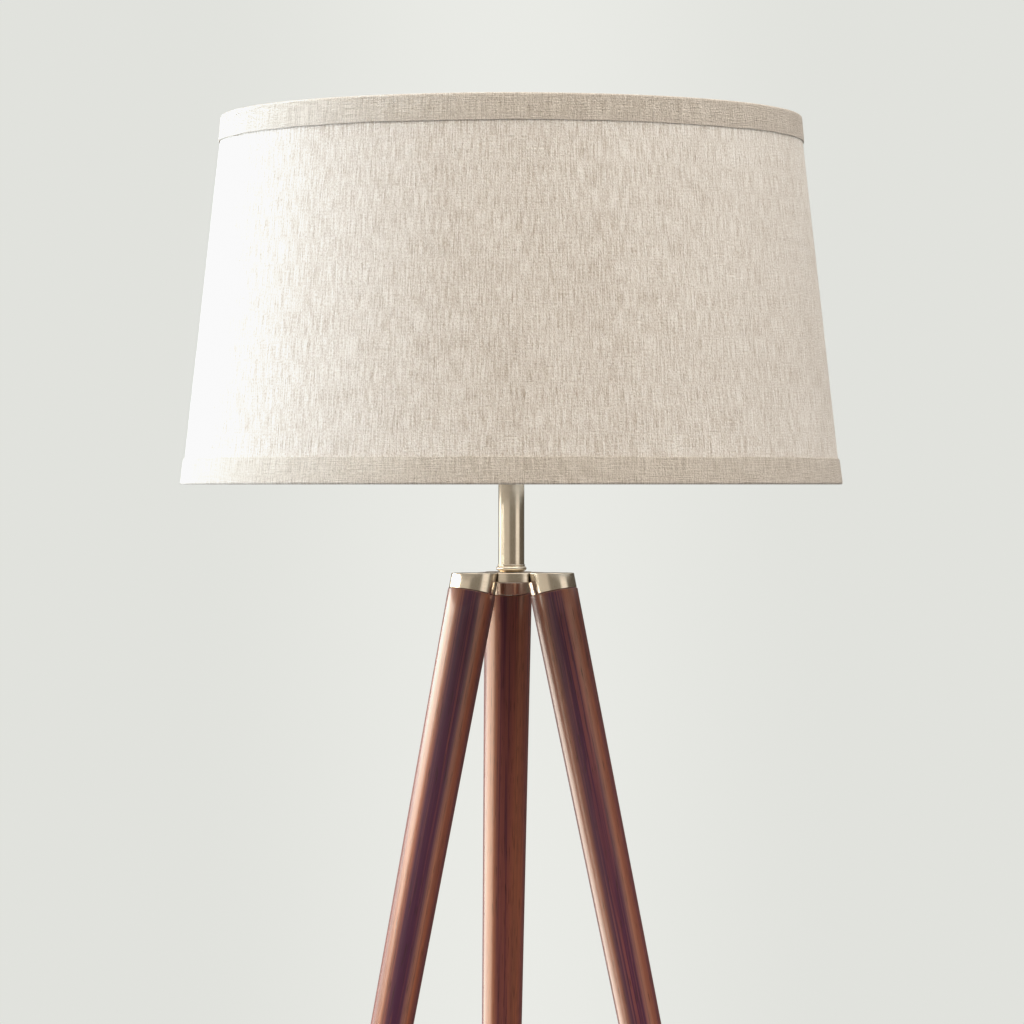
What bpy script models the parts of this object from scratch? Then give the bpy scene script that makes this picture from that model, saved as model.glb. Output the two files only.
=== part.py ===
"""Tripod floor lamp: three turned wooden legs on a metal hub, a neck tube, a lamp holder with harp and bulb,
and a conical fabric shade that turns on the harp's stud.

Everything is in metres, +Z up. The origin is on the floor, under the middle of the whole lamp's box. The
lamp's own vertical axis is the empty "lamp_axis", one leg points to +Y, and the harp lies in the XZ plane.
"""

import math

import bmesh
import bpy
from mathutils import Matrix, Vector

GAP = 0.0003  # clearance between pieces that touch or are joined
RUNNING_GAP = 0.0003  # clearance between pieces that turn or slide on each other

# Heights. The hub's top is measured from the floor, and each of the others from what carries it.
HUB_TOP = 1.185
NECK_HEIGHT = 0.071  # from the hub's top to the neck tube's top
HARP_HEIGHT = 0.1937  # from the harp's feet to the centre line of its crown
SHADE_HEIGHT = 0.254

# Shade
SHADE_TOP_RADIUS = 0.200
SHADE_BOTTOM_RADIUS = 0.228
FABRIC_WALL = 0.0010
LINER_WALL = 0.0006
TRIM_WALL = 0.0010
TRIM_WIDTH = 0.018
TRIM_TURN_IN = 0.007
RING_WIRE_RADIUS = 0.0015
SPIDER_RECESS = 0.022
SPIDER_WASHER_RADIUS = 0.009
SPIDER_WASHER_THICKNESS = 0.002
SPIDER_ARM_RADIUS = 0.0015
SPIDER_ARM_STEP = 0.010  # how far inside the ring an arm reaches its level stretch

# Hub, ferrules and legs
SPLAY = math.atan(0.2216)
LEG_CIRCLE_RADIUS = 0.0298  # from the lamp's axis to a leg's axis, at the hub's top
HUB_PLATE_RADIUS = 0.024
HUB_PLATE_THICKNESS = 0.007
HUB_PLATE_BEVEL = 0.0007
FERRULE_RADIUS = 0.0162
FERRULE_LENGTH = 0.0135
FERRULE_CHAMFER = 0.0004
WOOD_PROUD = 0.0004  # how far the leg's top stands out beyond its ferrule
LEG_FOOT_RADIUS = 0.0080
LEG_TOP_ROUND = 0.0005
STUD_RADIUS = 0.0037
STUD_IN_FERRULE = 0.0085
INSERT_WALL = 0.0022
INSERT_LENGTH = 0.024
PAD_RADIUS = 0.0070
PAD_THICKNESS = 0.003
PAD_NAIL_RADIUS = 0.0013
PAD_NAIL_LENGTH = 0.014

# Neck
NECK_RADIUS = 0.009
NECK_WALL = 0.0012
COLLAR_FOOT_HEIGHT = 0.0007
COLLAR_BEAD_HEIGHT = 0.0046
COLLAR_PROUD = 0.0016  # how far the bead stands out beyond the neck
COLLAR_LIP = 0.0004
COLLAR_FLOOR = 0.0015
PIPE_RADIUS = 0.0048
PIPE_WALL = 0.0012
PIPE_IN_HUB = 0.0045
BUSHING_RADIUS = 0.0070
BUSHING_THICKNESS = 0.0015
BUSHING_BORE_RADIUS = 0.0032
NECK_WASHER_PROUD = 0.0010
NECK_WASHER_THICKNESS = 0.0015

# Harp
SADDLE_THICKNESS = 0.0015
SADDLE_WIDTH = 0.016
SADDLE_LUG = 0.010
SADDLE_FLAT_SPARE = 0.0005  # how far the flat of the strip reaches beyond the lamp holder
SADDLE_RISE = 0.0095
SADDLE_PIN_LENGTH = 0.010
HARP_WIRE_RADIUS = 0.0018
HARP_FOOT_ROOM = 0.0049  # between the lamp holder and a sleeve
HARP_WIDEST = 0.052
HARP_STRAIGHT = 0.022
HARP_WIDEST_HEIGHT = 0.112  # above the harp's feet
SLEEVE_WALL = 0.0010
SLEEVE_LENGTH = 0.016
STUD_FLANGE_RADIUS = 0.006
STUD_FLANGE_THICKNESS = 0.002
HARP_STUD_RADIUS = 0.0030
HARP_STUD_LENGTH = 0.0100  # above the spider's washer

# Finial
FINIAL_BASE_RADIUS = 0.0060
FINIAL_WAIST_RADIUS = 0.0045
FINIAL_KNOB_RADIUS = 0.0070
FINIAL_HEIGHT = 0.0185

# Lamp holder and bulb
HOLDER_WALL = 0.0008
HOLDER_AIR = 0.0013  # between the screw shell and the card liner
CAP_HEIGHT = 0.015
CAP_FLOOR = 0.0015
PIPE_IN_CAP = 0.006
SHELL_HEIGHT = 0.044
LINER_SLEEVE_WALL = 0.0008
SWITCH_BODY_HEIGHT = 0.016
SCREW_SHELL_RADIUS = 0.0138
SCREW_SHELL_WALL = 0.0005
SCREW_SHELL_HEIGHT = 0.022
CONTACT_RADIUS = 0.004
CONTACT_HEIGHT = 0.0022
SHAFT_RADIUS = 0.0022
SHAFT_IN_BODY = 0.007
KNOB_RADIUS = 0.0065
KNOB_LENGTH = 0.018
KNOB_EDGE = 0.002
BULB_CAP_HEIGHT = 0.025
BULB_TIP_RADIUS = 0.0045
BULB_TIP_HEIGHT = 0.002
BULB_RADIUS = 0.030
BULB_NECK_STEP = 0.0005  # how much narrower the glass is than the cap it stands on
BULB_HEIGHT = 0.084  # of the glass, above the bulb's cap
BULB_WALL = 0.0010

# Levels and sizes that follow from the values above
NECK_TOP = HUB_TOP + NECK_HEIGHT
COLLAR_BOTTOM = HUB_TOP + GAP
NECK_BOTTOM = COLLAR_BOTTOM + COLLAR_FLOOR + GAP
COLLAR_BEAD_RADIUS = NECK_RADIUS + COLLAR_PROUD
NECK_WASHER_RADIUS = NECK_RADIUS + NECK_WASHER_PROUD
NECK_WASHER_BOTTOM = NECK_TOP + GAP
PIPE_BORE_RADIUS = PIPE_RADIUS - PIPE_WALL
PIPE_CLEARANCE_RADIUS = PIPE_RADIUS + GAP
SADDLE_BOTTOM = NECK_WASHER_BOTTOM + NECK_WASHER_THICKNESS + GAP
SADDLE_ARM_TOP = SADDLE_BOTTOM + SADDLE_RISE
HARP_FOOT = SADDLE_ARM_TOP + SADDLE_PIN_LENGTH + GAP
HARP_CROWN = HARP_FOOT + HARP_HEIGHT
SLEEVE_BOTTOM = SADDLE_ARM_TOP + SADDLE_THICKNESS + GAP
SLEEVE_BORE_RADIUS = HARP_WIRE_RADIUS + RUNNING_GAP
SLEEVE_RADIUS = SLEEVE_BORE_RADIUS + SLEEVE_WALL
FLANGE_BOTTOM = HARP_CROWN + HARP_WIRE_RADIUS + GAP
FLANGE_TOP = FLANGE_BOTTOM + STUD_FLANGE_THICKNESS
SPIDER_BOTTOM = FLANGE_TOP + RUNNING_GAP
SPIDER_TOP = SPIDER_BOTTOM + SPIDER_WASHER_THICKNESS
SHADE_TOP = SPIDER_TOP + SPIDER_RECESS
SHADE_BOTTOM = SHADE_TOP - SHADE_HEIGHT
FABRIC_TOP = SHADE_TOP - TRIM_WALL - GAP
FABRIC_BOTTOM = SHADE_BOTTOM + TRIM_WALL + GAP
CAP_BOTTOM = SADDLE_BOTTOM + SADDLE_THICKNESS + GAP
PIPE_TOP = CAP_BOTTOM + CAP_FLOOR + PIPE_IN_CAP
SHELL_BOTTOM = CAP_BOTTOM + CAP_HEIGHT + GAP
HOLDER_LINER_RADIUS = SCREW_SHELL_RADIUS + HOLDER_AIR + LINER_SLEEVE_WALL
HOLDER_RADIUS = HOLDER_LINER_RADIUS + GAP + HOLDER_WALL
HARP_FOOT_SPREAD = HOLDER_RADIUS + HARP_FOOT_ROOM + SLEEVE_RADIUS
SADDLE_FLAT = HOLDER_RADIUS + SADDLE_FLAT_SPARE
SWITCH_BODY_RADIUS = SCREW_SHELL_RADIUS + HOLDER_AIR - GAP
SWITCH_BODY_TOP = SHELL_BOTTOM + SWITCH_BODY_HEIGHT
SCREW_SHELL_BOTTOM = SWITCH_BODY_TOP + GAP
SHAFT_LEVEL = SHELL_BOTTOM + SWITCH_BODY_HEIGHT / 2
CONTACT_TOP = SCREW_SHELL_BOTTOM + CONTACT_HEIGHT
BULB_CAP_RADIUS = SCREW_SHELL_RADIUS - SCREW_SHELL_WALL - GAP
BULB_CAP_BOTTOM = CONTACT_TOP + GAP
BULB_NECK_RADIUS = BULB_CAP_RADIUS - BULB_NECK_STEP
BULB_GLASS_BOTTOM = BULB_CAP_BOTTOM + BULB_TIP_HEIGHT + BULB_CAP_HEIGHT + GAP
LEG_TOP_RADIUS = FERRULE_RADIUS + WOOD_PROUD
STUD_BORE_RADIUS = STUD_RADIUS + GAP
INSERT_RADIUS = STUD_BORE_RADIUS + INSERT_WALL
LEG_END = PAD_THICKNESS + GAP

SHADE_TAPER = (SHADE_BOTTOM_RADIUS - SHADE_TOP_RADIUS) / (FABRIC_TOP - FABRIC_BOTTOM)
TRIM_OUTER_RADIUS = SHADE_BOTTOM_RADIUS + GAP + TRIM_WALL
FOOT_CIRCLE_RADIUS = LEG_CIRCLE_RADIUS + (HUB_TOP - LEG_END) * math.tan(SPLAY)
REAR_REACH = FOOT_CIRCLE_RADIUS + LEG_FOOT_RADIUS / math.cos(SPLAY)
LAMP_AXIS_Y = (TRIM_OUTER_RADIUS - REAR_REACH) / 2

LEG_ANGLES = {"rear": math.radians(90), "left": math.radians(210), "right": math.radians(330)}
SPIDER_ARM_ANGLES = {"back": math.radians(90), "left": math.radians(210), "right": math.radians(330)}
SHADE_SEGMENTS = 60
LEG_SEGMENTS = 32
ROUND_SEGMENTS = 24
SMALL_SEGMENTS = 12
SHARP_ANGLE = math.radians(35)

NICKEL = ("nickel", (0.62, 0.57, 0.50), 0.32, 1.0)
WALNUT = ("walnut", (0.13, 0.05, 0.03), 0.35, 0.0)
LINEN = ("linen", (0.78, 0.73, 0.65), 0.90, 0.0)
STYRENE = ("styrene", (0.90, 0.88, 0.84), 0.45, 0.0)
WIRE = ("white_wire", (0.82, 0.80, 0.76), 0.45, 0.2)
BRASS = ("brass", (0.80, 0.62, 0.30), 0.30, 1.0)
ZINC = ("zinc", (0.60, 0.61, 0.62), 0.40, 1.0)
CARD = ("insulating_card", (0.30, 0.22, 0.15), 0.80, 0.0)
PHENOLIC = ("phenolic", (0.04, 0.035, 0.03), 0.40, 0.0)
BULB_GLASS = ("bulb_glass", (0.95, 0.94, 0.90), 0.25, 0.0)
NYLON = ("nylon", (0.75, 0.73, 0.68), 0.55, 0.0)


def clear_scene():
    """Removes every object of the scene."""
    for obj in list(bpy.data.objects):
        bpy.data.objects.remove(obj, do_unlink=True)


def material_of(name, finish):
    """A Principled material of the object's own, from (name, colour, roughness, metallic)."""
    kind, colour, roughness, metallic = finish
    material = bpy.data.materials.new(f"{name}_{kind}")
    material.use_nodes = True
    shader = material.node_tree.nodes["Principled BSDF"]
    shader.inputs["Base Color"].default_value = (*colour, 1.0)
    shader.inputs["Roughness"].default_value = roughness
    shader.inputs["Metallic"].default_value = metallic
    material.diffuse_color = (*colour, 1.0)
    return material


def add_object(name, mesh, finish, parent, location=(0, 0, 0)):
    """Puts a mesh in the scene as a smooth-shaded object under its parent."""
    mesh.shade_smooth()
    mesh.set_sharp_from_angle(angle=SHARP_ANGLE)
    mesh.materials.append(material_of(name, finish))
    obj = bpy.data.objects.new(name, mesh)
    bpy.context.scene.collection.objects.link(obj)
    obj.parent = parent
    obj.location = location
    return obj


def add_empty(name, parent=None, location=(0, 0, 0), rotation=(0, 0, 0)):
    """An empty that places what hangs under it."""
    empty = bpy.data.objects.new(name, None)
    bpy.context.scene.collection.objects.link(empty)
    empty.parent = parent
    empty.location = location
    empty.rotation_euler = rotation
    empty.empty_display_size = 0.02
    return empty


def finished_mesh(name, shape):
    """Turns a bmesh into a mesh with its faces pointing out."""
    bmesh.ops.remove_doubles(shape, verts=shape.verts, dist=1e-7)
    bmesh.ops.dissolve_degenerate(shape, dist=1e-7, edges=shape.edges)
    bmesh.ops.recalc_face_normals(shape, faces=shape.faces)
    mesh = bpy.data.meshes.new(name)
    shape.to_mesh(mesh)
    shape.free()
    return mesh


def turned(profile, segments):
    """A bmesh turned about Z from (radius, height) points.

    A profile that starts and ends on the axis gives a solid, and any other is closed into a ring.
    """
    shape = bmesh.new()
    points = [shape.verts.new((radius, 0, height)) for radius, height in profile]
    on_axis = profile[0][0] == 0 and profile[-1][0] == 0
    pairs = list(zip(points, points[1:]))
    if not on_axis:
        pairs.append((points[-1], points[0]))
    edges = [shape.edges.new(pair) for pair in pairs]
    bmesh.ops.spin(
        shape, geom=points + edges, axis=(0, 0, 1), angle=math.tau, steps=segments, use_merge=True
    )
    return shape


def turned_object(name, profile, segments, finish, parent, location=(0, 0, 0)):
    """A turned piece, placed at its location under its parent."""
    return add_object(name, finished_mesh(name, turned(profile, segments)), finish, parent, location)


def cut_flat(shape, point, normal):
    """Cuts off what lies on the normal's side of a plane and closes the cut."""
    geometry = shape.verts[:] + shape.edges[:] + shape.faces[:]
    cut = bmesh.ops.bisect_plane(
        shape, geom=geometry, plane_co=point, plane_no=normal, clear_outer=True, dist=1e-7
    )
    rim = [piece for piece in cut["geom_cut"] if isinstance(piece, bmesh.types.BMEdge)]
    bmesh.ops.edgeloop_fill(shape, edges=rim)


def cutter_of(name, profile, segments, parent, location=(0, 0, 0)):
    """A turned helper that only cuts other pieces."""
    mesh = finished_mesh(name, turned(profile, segments))
    helper = bpy.data.objects.new(name, mesh)
    bpy.context.scene.collection.objects.link(helper)
    helper.parent = parent
    helper.location = location
    helper.hide_render = True
    helper.display_type = "WIRE"
    return helper


def apply_boolean(obj, helper, operation="DIFFERENCE"):
    """Gives an object an exact Boolean with a helper."""
    modifier = obj.modifiers.new(f"{operation.lower()}_{helper.name}", "BOOLEAN")
    modifier.operation = operation
    modifier.solver = "EXACT"
    modifier.object = helper


def rod(radius, bottom, top):
    """The profile of a plain round rod between two heights."""
    return [(0, bottom), (radius, bottom), (radius, top), (0, top)]


def tube(inner, outer, bottom, top):
    """The profile of a plain tube between two heights."""
    return [(inner, bottom), (outer, bottom), (outer, top), (inner, top)]


def arc(centre, radius, start, end, steps):
    """(radius, height) points along an arc, from one angle to another in degrees, ends included."""
    angles = [math.radians(start + (end - start) * step / steps) for step in range(steps + 1)]
    return [(centre[0] + radius * math.cos(a), centre[1] + radius * math.sin(a)) for a in angles]


def wire_object(name, points, radius, finish, parent, smooth_handles=False):
    """A round wire along points, as a bevelled curve with filled ends."""
    curve = bpy.data.curves.new(name, "CURVE")
    curve.dimensions = "3D"
    curve.bevel_depth = radius
    curve.bevel_resolution = 2
    curve.use_fill_caps = True
    if smooth_handles:
        curve.resolution_u = 10
        spline = curve.splines.new("BEZIER")
        spline.bezier_points.add(len(points) - 1)
        for target, (place, before, after) in zip(spline.bezier_points, points):
            target.co = place
            target.handle_left = before
            target.handle_right = after
    else:
        spline = curve.splines.new("POLY")
        spline.points.add(len(points) - 1)
        for target, place in zip(spline.points, points):
            target.co = (*place, 1)
    curve.materials.append(material_of(name, finish))
    obj = bpy.data.objects.new(name, curve)
    bpy.context.scene.collection.objects.link(obj)
    obj.parent = parent
    return obj


def build_hub(axis, leg_axes):
    """The flat plate between the ferrules, bored for the lamp pipe and for the cord's bushing."""
    bottom = HUB_TOP - HUB_PLATE_THICKNESS
    pocket_top = bottom + BUSHING_THICKNESS + GAP
    pipe_seat = HUB_TOP - PIPE_IN_HUB - GAP
    profile = [
        (BUSHING_RADIUS + GAP, bottom),
        (HUB_PLATE_RADIUS - HUB_PLATE_BEVEL, bottom),
        (HUB_PLATE_RADIUS, bottom + HUB_PLATE_BEVEL),
        (HUB_PLATE_RADIUS, HUB_TOP - HUB_PLATE_BEVEL),
        (HUB_PLATE_RADIUS - HUB_PLATE_BEVEL, HUB_TOP),
        (PIPE_CLEARANCE_RADIUS, HUB_TOP),
        (PIPE_CLEARANCE_RADIUS, pipe_seat),
        (PIPE_BORE_RADIUS, pipe_seat),
        (PIPE_BORE_RADIUS, pocket_top),
        (BUSHING_RADIUS + GAP, pocket_top),
    ]
    plate = turned_object("hub_plate", profile, LEG_SEGMENTS, NICKEL, axis)
    for name, leg_axis in leg_axes.items():
        clearance = rod(FERRULE_RADIUS + GAP, -0.03, 0.03)
        apply_boolean(plate, cutter_of(f"cut_hub_{name}", clearance, LEG_SEGMENTS, leg_axis))
    bushing = tube(BUSHING_BORE_RADIUS, BUSHING_RADIUS, bottom, bottom + BUSHING_THICKNESS)
    turned_object("cord_bushing", bushing, ROUND_SEGMENTS, PHENOLIC, axis)


def build_leg(name, leg_axis, axis):
    """One leg with its ferrule, threaded insert, stud and glide. The leg's axis runs down local -Z."""
    level = Vector((math.sin(SPLAY), 0, math.cos(SPLAY)))

    ferrule_profile = [
        (0, STUD_IN_FERRULE - FERRULE_LENGTH),
        (STUD_BORE_RADIUS, STUD_IN_FERRULE - FERRULE_LENGTH),
        (STUD_BORE_RADIUS, -FERRULE_LENGTH),
        (FERRULE_RADIUS - FERRULE_CHAMFER, -FERRULE_LENGTH),
        (FERRULE_RADIUS, FERRULE_CHAMFER - FERRULE_LENGTH),
        (FERRULE_RADIUS, FERRULE_RADIUS),
        (0, FERRULE_RADIUS),
    ]
    ferrule = turned(ferrule_profile, LEG_SEGMENTS)
    cut_flat(ferrule, Vector((0, 0, 0)), level)
    add_object(f"ferrule_{name}", finished_mesh(f"ferrule_{name}", ferrule), NICKEL, leg_axis)

    wood_top = -FERRULE_LENGTH - GAP
    wood_end = -(HUB_TOP - LEG_END) / math.cos(SPLAY)
    insert_top = wood_top - GAP
    insert_bottom = insert_top - INSERT_LENGTH
    taper = (LEG_TOP_RADIUS - LEG_FOOT_RADIUS) / (wood_top - wood_end)
    spare = LEG_FOOT_RADIUS
    wood_profile = [
        (0, wood_end - spare),
        (LEG_FOOT_RADIUS - spare * taper, wood_end - spare),
        (LEG_TOP_RADIUS - LEG_TOP_ROUND * taper, wood_top - LEG_TOP_ROUND),
        (LEG_TOP_RADIUS - LEG_TOP_ROUND, wood_top),
        (INSERT_RADIUS + GAP, wood_top),
        (INSERT_RADIUS + GAP, insert_bottom - GAP),
        (0, insert_bottom - GAP),
    ]
    wood = turned(wood_profile, LEG_SEGMENTS)
    cut_flat(wood, Vector((0, 0, wood_end)), -level)
    leg = add_object(f"leg_{name}", finished_mesh(f"leg_{name}", wood), WALNUT, leg_axis)

    insert = tube(STUD_BORE_RADIUS, INSERT_RADIUS, insert_bottom, insert_top)
    turned_object(f"leg_insert_{name}", insert, SMALL_SEGMENTS, BRASS, leg_axis)
    stud_top = STUD_IN_FERRULE - FERRULE_LENGTH - GAP
    stud = rod(STUD_RADIUS, insert_bottom + GAP, stud_top)
    turned_object(f"leg_stud_{name}", stud, SMALL_SEGMENTS, ZINC, leg_axis)

    angle = LEG_ANGLES[name]
    foot = (FOOT_CIRCLE_RADIUS * math.cos(angle), FOOT_CIRCLE_RADIUS * math.sin(angle), 0)
    nail_top = PAD_THICKNESS + PAD_NAIL_LENGTH
    pad = [
        (0, 0),
        (PAD_RADIUS, 0),
        (PAD_RADIUS, PAD_THICKNESS),
        (PAD_NAIL_RADIUS, PAD_THICKNESS),
        (PAD_NAIL_RADIUS, nail_top),
        (0, nail_top),
    ]
    turned_object(f"foot_pad_{name}", pad, SMALL_SEGMENTS, NYLON, axis, foot)
    nail_hole = rod(PAD_NAIL_RADIUS + GAP, -PAD_THICKNESS, nail_top + GAP)
    apply_boolean(leg, cutter_of(f"cut_nail_{name}", nail_hole, SMALL_SEGMENTS, axis, foot))


def build_neck(axis):
    """The collar on the hub, the neck tube standing in it, the washer on top and the pipe through them all."""
    seat = NECK_RADIUS + GAP
    foot_top = COLLAR_BOTTOM + COLLAR_FOOT_HEIGHT
    widest = foot_top + 0.4 * COLLAR_BEAD_HEIGHT
    bead_top = foot_top + COLLAR_BEAD_HEIGHT
    bulge = COLLAR_BEAD_RADIUS - seat - COLLAR_LIP
    lower = [
        (
            seat + COLLAR_LIP + bulge * math.cos(math.radians(angle)),
            widest + (widest - foot_top) * math.sin(math.radians(angle)),
        )
        for angle in (-75, -50, -25, 0)
    ]
    upper = [
        (
            seat + COLLAR_LIP + bulge * math.cos(math.radians(angle)),
            widest + (bead_top - widest) * math.sin(math.radians(angle)),
        )
        for angle in (20, 40, 60, 75, 90)
    ]
    collar = [
        (PIPE_CLEARANCE_RADIUS, COLLAR_BOTTOM),
        (NECK_RADIUS - COLLAR_LIP, COLLAR_BOTTOM),
        (NECK_RADIUS - COLLAR_LIP, foot_top),
        *lower,
        *upper,
        (seat, bead_top),
        (seat, COLLAR_BOTTOM + COLLAR_FLOOR),
        (PIPE_CLEARANCE_RADIUS, COLLAR_BOTTOM + COLLAR_FLOOR),
    ]
    turned_object("neck_collar", collar, ROUND_SEGMENTS, NICKEL, axis)
    neck = tube(NECK_RADIUS - NECK_WALL, NECK_RADIUS, NECK_BOTTOM, NECK_TOP)
    turned_object("neck_tube", neck, ROUND_SEGMENTS, NICKEL, axis)
    washer_top = NECK_WASHER_BOTTOM + NECK_WASHER_THICKNESS
    washer = tube(PIPE_CLEARANCE_RADIUS, NECK_WASHER_RADIUS, NECK_WASHER_BOTTOM, washer_top)
    turned_object("neck_washer", washer, ROUND_SEGMENTS, NICKEL, axis)
    pipe = tube(PIPE_BORE_RADIUS, PIPE_RADIUS, HUB_TOP - PIPE_IN_HUB, PIPE_TOP)
    turned_object("lamp_pipe", pipe, ROUND_SEGMENTS, ZINC, axis)


def saddle_mesh():
    """A flat strip bent up at both ends, with a lug at each end that carries a harp pin."""
    outer = HARP_FOOT_SPREAD + SADDLE_LUG / 2
    inner = HARP_FOOT_SPREAD - SADDLE_LUG / 2
    low = SADDLE_BOTTOM
    high = SADDLE_ARM_TOP
    half = [(0, low), (SADDLE_FLAT, low), (inner, high), (outer, high)]
    top = [(x, z + SADDLE_THICKNESS) for x, z in reversed(half)]
    right = half + top
    left = [(-x, z) for x, z in reversed(right[1:-1])]
    shape = bmesh.new()
    corners = [shape.verts.new((x, -SADDLE_WIDTH / 2, z)) for x, z in right + left]
    face = shape.faces.new(corners)
    grown = bmesh.ops.extrude_face_region(shape, geom=[face])
    moved = [piece for piece in grown["geom"] if isinstance(piece, bmesh.types.BMVert)]
    bmesh.ops.translate(shape, verts=moved, vec=(0, SADDLE_WIDTH, 0))
    return finished_mesh("harp_saddle", shape)


def build_harp(axis):
    """The saddle under the lamp holder, the wire harp, its two locking sleeves and the stud on its top."""
    saddle = add_object("harp_saddle", saddle_mesh(), ZINC, axis)
    bore = rod(PIPE_CLEARANCE_RADIUS, SADDLE_BOTTOM - 0.01, SADDLE_BOTTOM + 0.01)
    apply_boolean(saddle, cutter_of("cut_saddle", bore, ROUND_SEGMENTS, axis))
    for side, name in ((-1, "left"), (1, "right")):
        place = (side * HARP_FOOT_SPREAD, 0, 0)
        pin = rod(HARP_WIRE_RADIUS, SADDLE_ARM_TOP + SADDLE_THICKNESS / 2, HARP_FOOT - GAP)
        helper = cutter_of(f"pin_{name}", pin, SMALL_SEGMENTS, axis, place)
        apply_boolean(saddle, helper, "UNION")
        sleeve_axis = add_empty(f"sleeve_axis_{name}", axis, (*place[:2], SLEEVE_BOTTOM))
        sleeve = tube(SLEEVE_BORE_RADIUS, SLEEVE_RADIUS, 0, SLEEVE_LENGTH)
        turned_object(f"harp_sleeve_{name}", sleeve, SMALL_SEGMENTS, BRASS, sleeve_axis)

    straight_top = HARP_FOOT + HARP_STRAIGHT
    widest = HARP_FOOT + HARP_WIDEST_HEIGHT
    lower_pull = 0.45 * (widest - straight_top)
    upper_pull = 0.62 * (HARP_CROWN - widest)
    top_pull = 0.62 * HARP_WIDEST
    knots = []
    for side in (-1, 1):
        foot = (side * HARP_FOOT_SPREAD, 0, HARP_FOOT)
        bend = (side * HARP_FOOT_SPREAD, 0, straight_top)
        wide = (side * HARP_WIDEST, 0, widest)
        third = (straight_top - HARP_FOOT) / 3
        knots.append(
            [
                (foot, (foot[0], 0, foot[2] - third), (foot[0], 0, foot[2] + third)),
                (bend, (bend[0], 0, bend[2] - third), (bend[0], 0, bend[2] + lower_pull)),
                (wide, (wide[0], 0, wide[2] - lower_pull), (wide[0], 0, wide[2] + upper_pull)),
            ]
        )
    crown = [((0, 0, HARP_CROWN), (-top_pull, 0, HARP_CROWN), (top_pull, 0, HARP_CROWN))]
    descent = [(place, after, before) for place, before, after in reversed(knots[1])]
    wire_object("harp_wire", knots[0] + crown + descent, HARP_WIRE_RADIUS, BRASS, axis, True)

    stud = [
        (0, FLANGE_BOTTOM),
        (STUD_FLANGE_RADIUS, FLANGE_BOTTOM),
        (STUD_FLANGE_RADIUS, FLANGE_TOP),
        (HARP_STUD_RADIUS, FLANGE_TOP),
        (HARP_STUD_RADIUS, SPIDER_TOP + HARP_STUD_LENGTH),
        (0, SPIDER_TOP + HARP_STUD_LENGTH),
    ]
    turned_object("harp_stud", stud, SMALL_SEGMENTS, BRASS, axis)


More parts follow.
